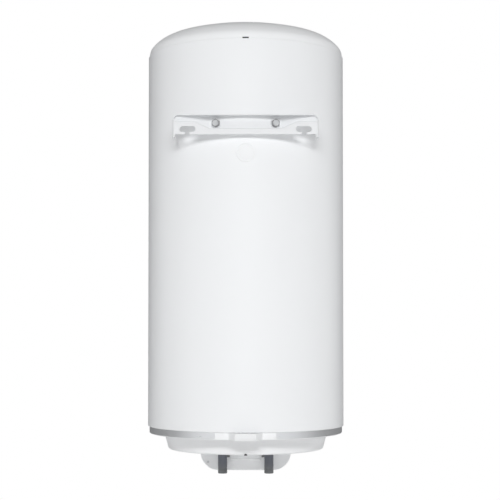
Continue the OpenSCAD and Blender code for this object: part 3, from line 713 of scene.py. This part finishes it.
corner_x = half_w - CORNER_R + CORNER_R * np.sin(np.linspace(0, math.pi / 2, 19))
middle = joined(np.linspace(0, 98, 62), np.linspace(99, corner_x[0] - 0.5, 30))
middle = joined(middle, corner_x[corner_x < foot_x - 0.2], [foot_x])
end = joined([foot_x], corner_x[(corner_x > foot_x + 0.2) & (corner_x < recess_x - 0.1)])
end = joined(end, [recess_x, recess_x + 0.1], corner_x[corner_x > recess_x + 0.2])
print("sections:", 2 * len(middle) - 1, "in the middle and", len(end), "at each end")

# %% Bracket paint
# The bracket's white is darker than the casing's: partly its own paint, partly painted shade for
# the recessed panel.
light, dark = (0.785, 0.797, 0.812), (0.815, 0.826, 0.838)
bracket_paint = tones(light, dark, (60, 2), (0.9, 3, 0.30, 0.10), (2.6, 2, 0.012))
BRACKET_PAINT = finish("bracket_paint", bracket_paint, IOR=1.5)

# %% Slots and ears
web = make("pressed_bracket", pressing(joined(-middle[:0:-1], middle), WEB_Z))
slot_x, slot_z, slot_in, slot_out, slot_r = 120, 622.2, -16.9, 15.5, 6.0
tee = [(slot_in, -slot_r), (-5, -slot_r), (-5, -20), (5, -20), (5, -slot_r), (slot_out, -slot_r)]
tee += [(slot_out, slot_r), (slot_in, slot_r)]
tee = rounded(tee, [5.9, 0.8, 0, 0, 0.8, 5.9, 5.9, 5.9], 8)
slots, ears = [], []
for side in (-1, 1):
    at_hook = tee * [side, 1] + [side * slot_x, slot_z]
    slots.append(make("slot", plate(at_hook, WALL_Y - 6, WALL_Y + 3, "y")))
cut(web, *slots)
fit(web, BRACKET_PAINT, "white_enamel", "wall_bracket")
for side in (-1, 1):
    ears.append(pressing(side * end, ear_z))
    outer = arc(foot_x, WALL_Y - BEND, BEND, 90, 0, 9)
    inner = arc(foot_x, WALL_Y - BEND, BEND - SHEET_T, 0, 90, 9)
    legs = [[half_w, WALL_Y - 39], [half_w - 1, WALL_Y - 40], [half_w - SHEET_T, WALL_Y - 40]]
    ear = joined(outer, legs, inner) * [side, 1]
    ears.append(plate(ear[::side], WEB_Z - 5.6, ear_z))
fit(make("bracket_ears", *ears), BRACKET_PAINT, "white_enamel")

# %% [markdown]
# ## Bolts and washers
#
# A hexagon head is a prism whose top corners are turned off by a 30 degree cone, which leaves
# a round face with six curved facets. On a polar grid that is one line of maths: the side ends
# where its distance from the middle meets the cone.

# %% Zinc and the bolts
dull, clear = (0.60, 0.61, 0.62), (0.72, 0.73, 0.735)
zinc = tones(dull, clear, (2.2, 3), (9, 2, 0.30, 0.18), (2.2, 3, 0.01))


def zinc_with_painted_shade(tree):
    """As zinc, with painted shade: darker outside the round face, and darkest where the surface
    turns away from the wall side. Each bolt's axis goes through the tank's, so a point's
    distance from it has the parts |x| cos t - y sin t and z - bolt_z."""
    at = tree.axes(tree.place(shift=(0, -AXIS_Y, -FOOT - bolt_z * MM)))
    looks = tree.axes(tree.node("NewGeometry").out("Normal")).out("Y")
    from_middle = (at.out("X") * at.out("X")) ** 0.5
    along = from_middle * math.cos(bolt_turn) - at.out("Y") * math.sin(bolt_turn)
    from_axis = (along * along + at.out("Z") * at.out("Z")) ** 0.5
    # Painted shade: outside the round face the zinc turns dark, darkest where the surface turns
    # away from the wall side.
    beyond_face = from_axis.between(6.0 * MM, 6.6 * MM)
    face_tone = tree.mix(tree.noise(2.2, 3), (0.70, 0.705, 0.71), (0.80, 0.805, 0.81))
    painted_shade = tree.mix(looks.between(0.35, 0.75), (0.20, 0.20, 0.205), (0.44, 0.44, 0.445))
    return {
        "Base Color": tree.mix(beyond_face, face_tone, painted_shade),
        "Roughness": 0.34 + 0.18 * tree.noise(9, 2),
        "Normal": tree.bump(tree.noise(2.2, 3), 0.01),
    }


ZINC = finish("zinc_steel", zinc, Metallic=1.0)
BOLT_ZINC = finish("zinc_with_painted_shade", zinc_with_painted_shade, Metallic=0.85)


def pale_zinc(tree):
    bloom = tree.noise(4, 3)
    return {
        "Base Color": tree.mix(bloom, (0.80, 0.81, 0.82), (0.86, 0.865, 0.87)),
        "Roughness": 0.45 + 0.15 * tree.noise(0.8, 2),
        "Metallic": 0.30 + 0.2 * bloom,
        "Normal": tree.bump(bloom, 0.01),
    }


PALE_ZINC = finish("pale_zinc", pale_zinc)


def facing_wall(drawing, x, y, turn):
    """A bolt's drawing (u, v, w), with w along its axis, turned by an angle and set down at
    (x, y) and the bolts' height."""
    (u, v, w), c, s = np.moveaxis(drawing, -1, 0), math.cos(turn), math.sin(turn)
    return np.stack([x + u * c + w * s, y - u * s + w * c, bolt_z + v], -1)


def hexagon_head(flats, h):
    """Radius to a flat: (flats / 2) / cos(angle from the flat's middle). The side stops where
    h - (radius - r_face) * tan 30 is reached, with r_face the round face's radius. The face
    itself is dished between two smaller circles."""
    a = circle(96)
    side_r = flats / 2 / np.cos((a + math.pi / 6) % (math.pi / 3) - math.pi / 6)
    face_r = 0.43 * flats
    stop = h - (side_r - face_r) * math.tan(math.radians(30))
    circles = [(face_r, h), (face_r - 0.5, h + 0.05), (face_r - 1.3, h - 0.35), (0, h - 0.35)]
    radius = [0 * a, side_r, side_r] + [r + 0 * a for r, _ in circles]
    level = [0 * a, 0 * a, stop] + [z + 0 * a for _, z in circles]
    return polar(np.array(radius), a, np.array(level))


heads, rings = [], []
washer_t, washer_r, flats, head_h = 2.0, 10.0, 15.2, 5.8
r, w = rounded(oblong(5.3, washer_r, 0, washer_t), 0.35, 3).T[..., None]
ring = polar(r, circle(64), w)
for side in (-1, 1):
    turn = side * bolt_turn
    out = np.array([math.sin(turn), math.cos(turn)])
    head = facing_wall(hexagon_head(flats, head_h), *(panel_r + washer_t) * out, turn)
    heads.append(grid(head))
    washer = facing_wall(ring, *panel_r * out, turn)
    rings.append(grid(washer, close_rows=True))
fit(make("bolt_heads", *heads), BOLT_ZINC, "zinc_steel", "bracket_bolts")
fit(make("washer_rings", *rings), PALE_ZINC, "zinc_steel", "bracket_washers")

# %% [markdown]
# ## The water pipes
#
# Both pipes are steel tube with a dark coat, and end in a half-inch pipe thread. The thread is
# cut into the grid itself: the radius falls by a triangle wave of height and angle, so the
# groove climbs one pitch in each turn.


# %% Coated pipes
def coated(tree):
    coat = tree.noise(1.6, 3)
    rubbed = tree.noise(14, 2, tree.place((1, 1, 0.3)))
    # Towards the foot the coat turns lighter and greyer, over the thread and a little above it.
    end = tree.axes().out("Z").between(FOOT + (PIPE_FOOT + 24) * MM, FOOT + (PIPE_FOOT + 8) * MM)
    painted = tree.mix(rubbed, (0.116, 0.125, 0.148), (0.140, 0.149, 0.174))
    return {
        "Base Color": tree.mix(end, painted, (0.168, 0.174, 0.180)),
        "Roughness": 0.42 + 0.15 * coat,
        "Normal": tree.bump(coat, 0.02),
    }


PIPE_COAT = finish("pipe_coating", coated, IOR=1.5)


def water_pipe(name, node, side):
    """Outer wall, bore and both ends of a tube; in the threaded length the radius is less by
    depth * |2 frac(z / pitch - angle / 2 pi) - 1|, faded in over the first turn."""
    z0, top = drawn(node)[:, 2]
    r, crest, bore, pitch, thread, depth = 9.9, 10.4, 7.5, 1.814, 12.0, 1.0
    levels = z0 + np.arange(0.9, thread, pitch / 8)
    relief = z0 + np.array([thread, thread + 0.6, thread + 1.4, thread + 2])
    profile_z = joined([z0, z0 + 0.3], levels, relief, [top, top, z0 + 0.6, z0])[:, None]
    crests, rest = np.full(len(levels), crest), [r, r - 0.4, r - 0.4, r, r, bore, bore, bore + 0.4]
    profile_r = joined([crest - 1.6, crest - 0.9], crests, rest)[:, None]
    a = circle(72)
    wave = abs(2 * ((profile_z - z0) / pitch - a / (2 * math.pi) - 0.5) % 2 - 1)
    fade = np.clip((profile_z - z0) / pitch, 0, 1) * np.clip((z0 + thread - profile_z) / 2, 0, 1)
    on_thread = (profile_r == crest) & (profile_z < z0 + thread)
    radius = profile_r - np.where(on_thread, depth * (0.5 * (1 - fade) + wave * fade), 0)
    points = polar(radius, a, profile_z) + [side * PIPE_X, PIPE_Y, 0]
    pipe = make(name, grid(points, close_rows=True), sharp=50)
    fit(pipe, PIPE_COAT, "pipe_coating", node)


water_pipe("cold_pipe", "cold_inlet_pipe", 1)
water_pipe("hot_pipe", "hot_outlet_pipe", -1)

# %% [markdown]
# ## Rubber round the pipes and in the cable arch
#
# A grommet seals each pipe in the floor of the base cap. Towards the middle it has a thick half
# collar that fills the corner between pipe and cover. The arch for the cable is closed by a
# small plug that stands a little proud of the skirt; its black also paints the shade inside
# the arch.


# %% Grommets and plug
def rubber(name, light, dark, least):
    """A matt rubber with chalky patches and a fine grain."""
    return finish(name, tones(light, dark, (7, 3), (0.7, 2, least, 0.15), (0.7, 2, 0.03)))


BLACK_RUBBER = rubber("black_rubber", (0.060, 0.061, 0.064), (0.115, 0.117, 0.12), 0.62)
WORN_RUBBER = rubber("worn_rubber", (0.15, 0.152, 0.156), (0.20, 0.202, 0.206), 0.66)
seal_in, collar_r, seals = 10.0, 15.6, []
for side in (-1, 1):
    grommet = rounded(oblong(seal_in, 12.8, -4, 4.5), 0.6, 3) + [0, BASE_Z]
    seals.append(turned(grommet, 64, side * PIPE_X, PIPE_Y))
    half_ring = arc(0, 0, 1, -100, 12, 25) * [-side, 1]
    collar = joined(collar_r * half_ring, seal_in * half_ring[::-1])
    collar = collar + [side * PIPE_X, PIPE_Y]
    seals.append(plate(collar, BASE_Z - 13.6, BASE_Z - 0.3))
fit(make("pipe_grommets", *seals), WORN_RUBBER, "black_rubber", "pipe_seals")
stop_top = arch_top - 0.3
stop = [(-3.4, BASE_Z - 0.4), (3.4, BASE_Z - 0.4), (3.2, BASE_Z + 0.5)]
stop += [(1.5, stop_top), (-1.5, stop_top), (-3.2, BASE_Z + 0.5)]
stop = rounded(stop, [0.5, 0.5, 0.6, 1.2, 1.2, 0.6], 4)
plug_piece = make("arch_plug", plate(stop, 164, 174.5, along="y"))
# Black rubber, which also paints the shade inside the cable arch.
fit(ease(plug_piece, 0.2), BLACK_RUBBER, "black_rubber")

# %% [markdown]
# ## The control cover
#
# The cover is a loft of level outlines: at each height a rectangle with wide front corners,
# whose half width grows as the lower corners curve up, and whose front and back step in near
# the bottom for the moulded edge. Solidify then gives it its wall.

# %% Cover shell
cover_back, cover_r, edge = 55.0, 40.0, 4.0
low_part = edge * (1 - np.cos(np.linspace(0, math.pi / 2, 8)))
h = joined(low_part, np.linspace(edge, cover_r, 16)[1:], [BASE_Z - COVER_Z])
half = COVER_W - cover_r + np.sqrt(cover_r**2 - (cover_r - np.minimum(h, cover_r)) ** 2)
inset = edge - np.sqrt(edge**2 - (edge - np.minimum(h, edge)) ** 2)
plan = np.array(oblong(-half, half, COVER_FRONT + inset, cover_back - inset))
outline = rounded(plan.transpose(2, 0, 1), [45, 45, 3, 3], 14)
verts, faces = loft(outline, COVER_Z + h)
cover = make("cover_shell", (verts, faces[:-1]))
skin = cover.modifiers.new("wall", "SOLIDIFY")
skin.thickness, skin.offset, skin.use_even_offset = wall * MM, -1, True
settle(cover)
print("cover %d faces" % len(cover.data.polygons))

# %% Pad, openings and screw seats
pad_half, ledge_half, pad_foot = 32.9, 31.2, -72.4
pad = rounded(oblong(-pad_half, pad_half, pad_foot, -51), [1.2, 1.2, 0, 0], 4)
pad_piece = make("pad", plate(pad, cover_back - 1, 65, along="y"))
ease(pad_piece, 0.7, 3)
slope = [(64, pad_foot), (66.2, pad_foot), (68, -68.6), (67.6, -68.0), (64, -67.8)]
ledge = make("pad_ledge", plate(slope, -ledge_half, ledge_half, along="x"))
white(ease(ledge, 0.3))
knob_z = drawn("thermostat_spindle")[:, 2].mean()
lamp_x = drawn("pilot_lamp")[:, 0].mean()


def rod_y(name, r, y_from, y_to, x, z):
    """A round bar along Y."""
    a = circle(32)
    ring = np.stack([x + r * np.cos(a), z + r * np.sin(a)], -1)
    return make(name, plate(ring, y_from, y_to, "y"))


lens_r, seat_r, screw_x, screw_z = 3.9, 3.5, 82, BASE_Z - 25.6
tools = [rod_y("hole", 4, COVER_FRONT - 2, COVER_FRONT + 5, 0, knob_z)]
tools.append(rod_y("hole", lens_r + 0.15, COVER_FRONT - 2, COVER_FRONT + 5, lamp_x, knob_z))
tools.append(rod_y("seat", seat_r, cover_back - 1.6, cover_back + 2, screw_x, screw_z))
foot_screws = [(side * (COVER_W - 45), COVER_FRONT + 62) for side in (-1, 1)]
seat = oblong(0, seat_r, COVER_Z - 2, COVER_Z + 1.6)
tools += [make("seat", turned(seat, 32, x, y)) for x, y in foot_screws]
cut(cover, *tools)
white(cover, "control_cover")
white(pad_piece)

# %% [markdown]
# ## Screws of the cover
#
# Each screw has a low dome with a cross recess. The dome is a polar grid, and the recess is a
# term in its height: two short bars crossed, with walls that slope as a punch leaves them.


# %% Cover screws
def crossed(u, v):
    """1 inside a cross of two bars 0.9 wide and 3.2 long, falling to 0 over a short slope."""

    def bar(p, q):
        return np.clip((0.52 - abs(p)) / 0.16, 0, 1) * np.clip((1.7 - abs(q)) / 0.3, 0, 1)

    return np.maximum(bar(u, v), bar(v, u))


def screw_head():
    """Points (u, v, w) of one head: a rim and a dome of height 0.35 (1 - (r / rim)^2)."""
    a, rim = circle(64), 2.5
    dome = np.linspace(rim - 0.1, 0, 20)
    r = joined([0, rim, rim], dome)[:, None]
    w = joined([-1.1, -1.1, -0.1], 0.35 * (1 - (dome / rim) ** 2))[:, None] + 0 * a
    u, v = r * np.cos(a), r * np.sin(a)
    w[3:] -= 0.75 * crossed(u, v)[3:]
    return u, v, w


u, v, w = screw_head()
screws = [np.stack([screw_x + u, cover_back - 0.5 + w, screw_z + v], -1)]
screws += [np.stack([x + u, y + v, COVER_Z + 0.5 - w], -1) for x, y in foot_screws]
screws = make("screw_heads", *[grid(s) for s in screws])
fit(screws, ZINC, "zinc_steel", "cover_screws")
print("screws:", 1 + len(foot_screws))

# %% [markdown]
# ## The knob
#
# A knob turns the thermostat's spindle. It is moulded in one piece: a low disc with a milled
# rim, and across it a grip bar with a groove near one end, where a white line points at the
# scale. It is drawn facing the reader and then turned to the start of its travel.

# %% Knob
knob_y, knob_r, milled_r, rest_turn = drawn("temperature_knob")[1, 1], 17.0, 16, 135


def on_front(piece, turn=0.0, x=0.0):
    """From a drawing (u, v, w) that faces the reader to the cover's front:
    x + u cos t - v sin t, knob_y - w, knob_z + u sin t + v cos t."""
    (u, v, w), t = piece[0].T, math.radians(turn)
    across, up = u * math.cos(t) - v * math.sin(t), u * math.sin(t) + v * math.cos(t)
    return np.stack([x + across, knob_y - w, knob_z + up], -1), piece[1]


def lathe(profile, n, flutes=0, depth=0.0):
    """(r cos a, r sin a, w) for a profile (r, w); beyond milled_r it is milled by
    depth * (1 + cos(flutes * a)) / 2."""
    a = circle(n)
    r, w = np.asarray(profile, float).T[..., None]
    r = r - np.where(r > milled_r, depth * (0.5 + 0.5 * np.cos(flutes * a)), 0)
    return grid(polar(r, a, w))


disc = [(0, 0), (knob_r, 0), (knob_r, 3.2), (knob_r - 1.6, 4.6), (knob_r - 4, 5), (0, 5)]
disc = lathe(rounded(disc, [0, 0.4, 0.9, 1.2, 1.5, 0], 4), 384, 48, 0.3)
rise = np.array([0.5, 5, 9, 12.2, 13.2, 13.75, 14.0])
inset = np.array([0, 0.2, 0.5, 0.9, 1.25, 1.8, 2.7])
long, thick = 15.4 - inset, 4.1 - inset
bar = np.array(oblong(-thick, thick, -long, long))
bar = rounded(bar.transpose(2, 0, 1), np.minimum(thick - 0.1, 3)[:, None] + np.zeros(4), 6)
bar = make("grip_bar", on_front(loft(bar, rise), rest_turn))
mark = oblong(-0.65, 0.65, 3.5, 12.2)
cut(bar, make("groove", on_front(plate(mark, 13.2, 15), rest_turn)))
knob = cut(make("knob_grip", on_front(disc, rest_turn)), bar, operation="UNION")
mark = make("pointer", on_front(plate(mark, 13.1, 13.6), rest_turn))
print("knob %d faces, depth %.1f mm" % (len(knob.data.polygons), rise[-1]))

# %% [markdown]
# ## Scale and pilot lamp
#
# The scale is printed on the cover: thirteen ticks over the knob's three quarters of a turn,
# and outside them a crescent that widens and warms from cool to hot. Print is a film, so it
# stands a tenth of a millimetre proud. The lamp beside it has a ribbed amber lens in a ring.

# %% Scale and pilot lamp
ticks, tick_r, scale_r, rib = [], 18.6, 23.4, 0.78
for turn in np.linspace(rest_turn, -rest_turn, 13):
    length = 3.4 if round(turn / (rest_turn / 2), 3) % 1 == 0 else 2.2
    tick = oblong(-0.35, 0.35, tick_r, tick_r + length)
    ticks.append(on_front(plate(tick, -0.4, 0.1), turn))
ray = arc(0, 0, 1, 90 + rest_turn, 90 - rest_turn, 90)
outer = scale_r + np.linspace(0.3, 3.0, 90)[:, None]
crescent = joined(outer * ray, scale_r * ray[::-1])
crescent = make("scale_crescent", on_front(plate(crescent, -0.4, 0.1)))
r = np.linspace(lens_r, 0, 25)
lens = np.stack([r, 1.0 - 0.5 * (r / lens_r) ** 2 + 0.05 * np.cos(r * 2 * math.pi / rib)], -1)
lens = lathe(joined([(0, -3), (lens_r, -3)], lens), 64)
bezel = [(lens_r, -1), (5.5, -1), (5.5, 0.3), (4.9, 1.1), (4.1, 0.9), (lens_r, 0.5)]
bezel = rounded(bezel, 0.3, 3)
bezel = grid(lathe(bezel, 64)[0].reshape(-1, 64, 3), close_rows=True)


def printed(tree):
    """Ink that goes from cool to warm across the scale."""
    across = tree.axes().out("X")
    worn = tree.noise(0.8, 3)
    ink = tree.mix(across.between(-0.026, 0.026), (0.13, 0.22, 0.42), (0.55, 0.10, 0.06))
    pale = tree.mix(worn, (0.30, 0.30, 0.31), (0.42, 0.42, 0.43))
    return {
        "Base Color": tree.mix(worn.between(0.62, 0.80), ink, pale),
        "Roughness": 0.42 + 0.15 * worn,
        "Normal": tree.bump(worn, 0.004),
    }


SCALE_PRINT = finish("scale_print", printed)
print("ticks:", len(ticks))

# %% [markdown]
# ## Finishes inside
#
# The frame's own solids are right for what the cover and the casing hide, so they stay and get
# better finishes: blue tank enamel, pale foam, copper, brass, cast magnesium, rubber and the
# moulded plastics of the electrical parts.

# %% Inner finishes
# Two tones, the grain's size, the least roughness, the relief's depth, and metallic.
PLAIN = {
    "enamelled_steel": ((0.035, 0.075, 0.16), (0.05, 0.10, 0.20), 3, 0.22, 0.05, 0.0),
    "foam": ((0.80, 0.72, 0.47), (0.70, 0.61, 0.36), 2.5, 0.85, 0.4, 0.0),
    "element_copper": ((0.72, 0.36, 0.22), (0.58, 0.27, 0.16), 4, 0.3, 0.01, 1.0),
    "brass": ((0.78, 0.60, 0.29), (0.68, 0.50, 0.22), 2, 0.28, 0.01, 1.0),
    "magnesium": ((0.50, 0.50, 0.49), (0.40, 0.40, 0.39), 2, 0.5, 0.04, 1.0),
    "ivory_plastic": ((0.74, 0.70, 0.58), (0.70, 0.65, 0.53), 1, 0.4, 0.01, 0.0),
    "grey_plastic": ((0.33, 0.34, 0.35), (0.28, 0.29, 0.30), 1, 0.4, 0.01, 0.0),
    "dark_plastic": ((0.030, 0.031, 0.034), (0.045, 0.046, 0.05), 0.8, 0.38, 0.01, 0.0),
    "amber_lens": ((0.90, 0.42, 0.05), (0.84, 0.34, 0.03), 2, 0.08, 0.004, 0.0),
    "red_plastic": ((0.62, 0.03, 0.02), (0.54, 0.025, 0.02), 1, 0.3, 0.006, 0.0),
}
made = {"zinc_steel": ZINC, "black_rubber": BLACK_RUBBER}
for name, (light, dark, size, rough, depth, metal) in PLAIN.items():
    recipe = tones(light, dark, (size * 6, 2), (size, 3, rough, 0.15), (size, 3, depth))
    made[name] = finish(name, recipe, Metallic=metal)
print("inner finishes:", ", ".join(PLAIN))

# %% Finishes on the frame's own solids
INSIDE = {
    "foam": ["foam_insulation"],
    "enamelled_steel": ["inner_tank", "tank_bosses", "flange_neck"],
    "black_rubber": ["flange_gasket"],
    "zinc_steel": ["flange_plate", "flange_washers", "flange_bolts", "component_carrier"]
    + ["anode_stud", "thermostat_pocket"],
    "element_copper": ["heating_element", "sensor_bulb", "capillary_tube"],
    "brass": ["terminal_screws", "earth_stud"],
    "magnesium": ["anode_rod"],
    "ivory_plastic": ["inlet_diffuser", "terminal_block", "thermostat_body"],
    "grey_plastic": ["thermostat_spindle"],
    "dark_plastic": ["lamp_holder", "safety_cutout"],
    "red_plastic": ["reset_button"],
}
for name, users in INSIDE.items():
    for user in users:
        nodes[user].data.materials.clear()
        nodes[user].data.materials.append(made[name])
fit(knob, made["grey_plastic"], "grey_plastic", "temperature_knob", body="knob")
white(mark, body="knob")
# The clip is dark plastic to paint the shade inside the cap's window.
fit(clip, made["dark_plastic"], "dark_plastic")
fit(make("scale_ticks", *ticks), made["dark_plastic"], "dark_plastic")
fit(crescent, SCALE_PRINT, "dark_plastic")
fit(make("lamp_lens", on_front(lens, x=lamp_x)), made["amber_lens"], "amber_lens", "pilot_lamp")
fit(make("lamp_bezel", on_front(bezel, x=lamp_x)), made["grey_plastic"], "grey_plastic")
finished = sum(INSIDE.values(), [])
left_plain = [n for n, node in nodes.items() if not node.hide_render and n not in finished]
print("nodes with no finish yet:", left_plain)

# %% [markdown]
# ## A white room
#
# The heater hangs against white. A soft lamp high behind the camera gives the shadows, and
# broad suns, most of them from the sides and the front, fill them. The white world is there
# for the eye and for reflections, and lights the part only a little. White on white loses its
# outline, so dim screens that only reflections can see darken the rim of each glossy curve.

# %% World
WHITE = (1, 1, 1, 1)
world = bpy.data.worlds.new("white_room")
bpy.context.scene.world = world
tree = Tree(world)
path = tree.node("LightPath")
seen = path.out("Is Camera Ray") + path.out("Is Glossy Ray") + path.out("Is Transmission Ray")
strength = 0.14 + 0.86 * seen.between(0.0, 1.0)
tree.surface(tree.node("Background", {"Color": WHITE, "Strength": strength}), "World")

# %% Key lamp
# Its light does not fade with distance, so the whole height is lit alike.
data, at, aim = bpy.data.lights.new("key", "AREA"), (0.0, 2.35, 0.62), (0, AXIS_Y, -0.9)
data.shape, data.size, data.size_y, data.energy = "RECTANGLE", 1.1, 0.46, 5.48
key = placed("key", data)
x, y, z = np.subtract(aim, at)
key.rotation_euler = (math.atan2(math.hypot(x, y), -z), 0, math.atan2(-x, y))
key.location = at
key.visible_camera = key.visible_glossy = False
tree = Tree(data)
falloff = tree.node("LightFalloff", {"Strength": 1.0}).out("Constant")
tree.surface(tree.node("Emission", {"Color": WHITE, "Strength": falloff}), "Light")


# %% Broad suns
def wash(name, power, azimuth, height, breadth, shadow):
    """A broad sun from that azimuth, 0 towards the wall side, with or without a shadow."""
    data = bpy.data.lights.new(name, "SUN")
    data.energy, data.angle, data.use_shadow = power, breadth, shadow
    obj = placed(name, data)
    obj.rotation_euler = (math.radians(90 - height), 0, math.radians(180 - azimuth))
    obj.visible_glossy = False


wash("overhead", 0.28, 0, 85, 0.6, True)
wash("wall_side", 0.55, 0, 4, 0.5, False)
wash("from_floor", 0.31, 0, -35, 0.8, False)
wash("front_left", 0.80, 110, 5, 0.5, True)
wash("front_right", 1.05, -110, 5, 0.5, True)
wash("front", 1.25, 180, 14, 0.5, True)

# %% Floor
# Far below, diffuse and pale. Seen directly it also glows a little, so that it meets the
# white room without a line and still shows a soft shadow.
floor_z = -1.65
mesh = bpy.data.meshes.new("floor")
mesh.from_pydata([(x, y, floor_z) for x, y in oblong(-5, 5, -5, 5)], [], [[0, 1, 2, 3]])
floor = placed("floor", mesh)
floor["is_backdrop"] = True
floor.visible_shadow = False
tree = Tree(bpy.data.materials.new("pale_floor"))
tone = tree.mix(tree.noise(400, 2), (0.86, 0.86, 0.86), (0.88, 0.88, 0.88))
cloth = tree.node("BsdfDiffuse", {"Color": tone}).out()
seen = tree.node("LightPath").out("Is Camera Ray")
glow = tree.node("Emission", {"Color": WHITE, "Strength": 0.5 * seen}).out()
tree.surface(tree.node("AddShader", {0: cloth, 1: glow}))
mesh.materials.append(tree.owner)

# %% Dim screens for reflections
far, lift = 3.6, np.radians(np.linspace(-90, 90, 25))[:, None]
ball = polar(np.cos(lift), circle(48), np.sin(lift))
verts, faces = grid(ball * far)
mesh = bpy.data.meshes.new("screens")
mesh.from_pydata(verts.tolist(), [], faces)
shell(mesh)
screens = placed("screens", mesh)
screens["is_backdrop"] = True
screens.visible_camera = screens.visible_diffuse = screens.visible_shadow = False
screens.visible_transmission = screens.visible_volume_scatter = False
tree = Tree(bpy.data.materials.new("dim_screens"))
at = tree.axes(tree.place((1 / far,) * 3))
toward = at.out("Y").between(-0.3, 0.75)
above = at.out("Z").between(-0.95, -0.55)
strength = (0.16 + 0.66 * toward) * (0.35 + 0.65 * above)
tree.surface(tree.node("Emission", {"Color": (0.97, 0.985, 1.0, 1), "Strength": strength}))
mesh.materials.append(tree.owner)
print("studio ready")

# %% [markdown]
# ## The camera
#
# A long lens, level with the lower half of the casing and tilted up by a degree or two, sees
# the whole heater from its wall side. The shift keeps the heater in the middle of the view.

# %% Camera
view, tilt_up = bpy.data.cameras.new("camera"), 1.6
view.lens, view.sensor_width = 90.41, 36.0
view.shift_x, view.shift_y = 0.0039, 0.0886
camera = placed("camera", view)
camera.location = (-0.005, 2.5633, -0.4118)
camera.rotation_euler = (math.radians(90 + tilt_up), 0, math.radians(180))
bpy.context.scene.camera = camera
bpy.context.scene.view_settings.view_transform = "Standard"

# %% Size of the model
model_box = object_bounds()
plain = [[[float(v) for v in corner] for corner in box] for box in (cad_box, model_box)]
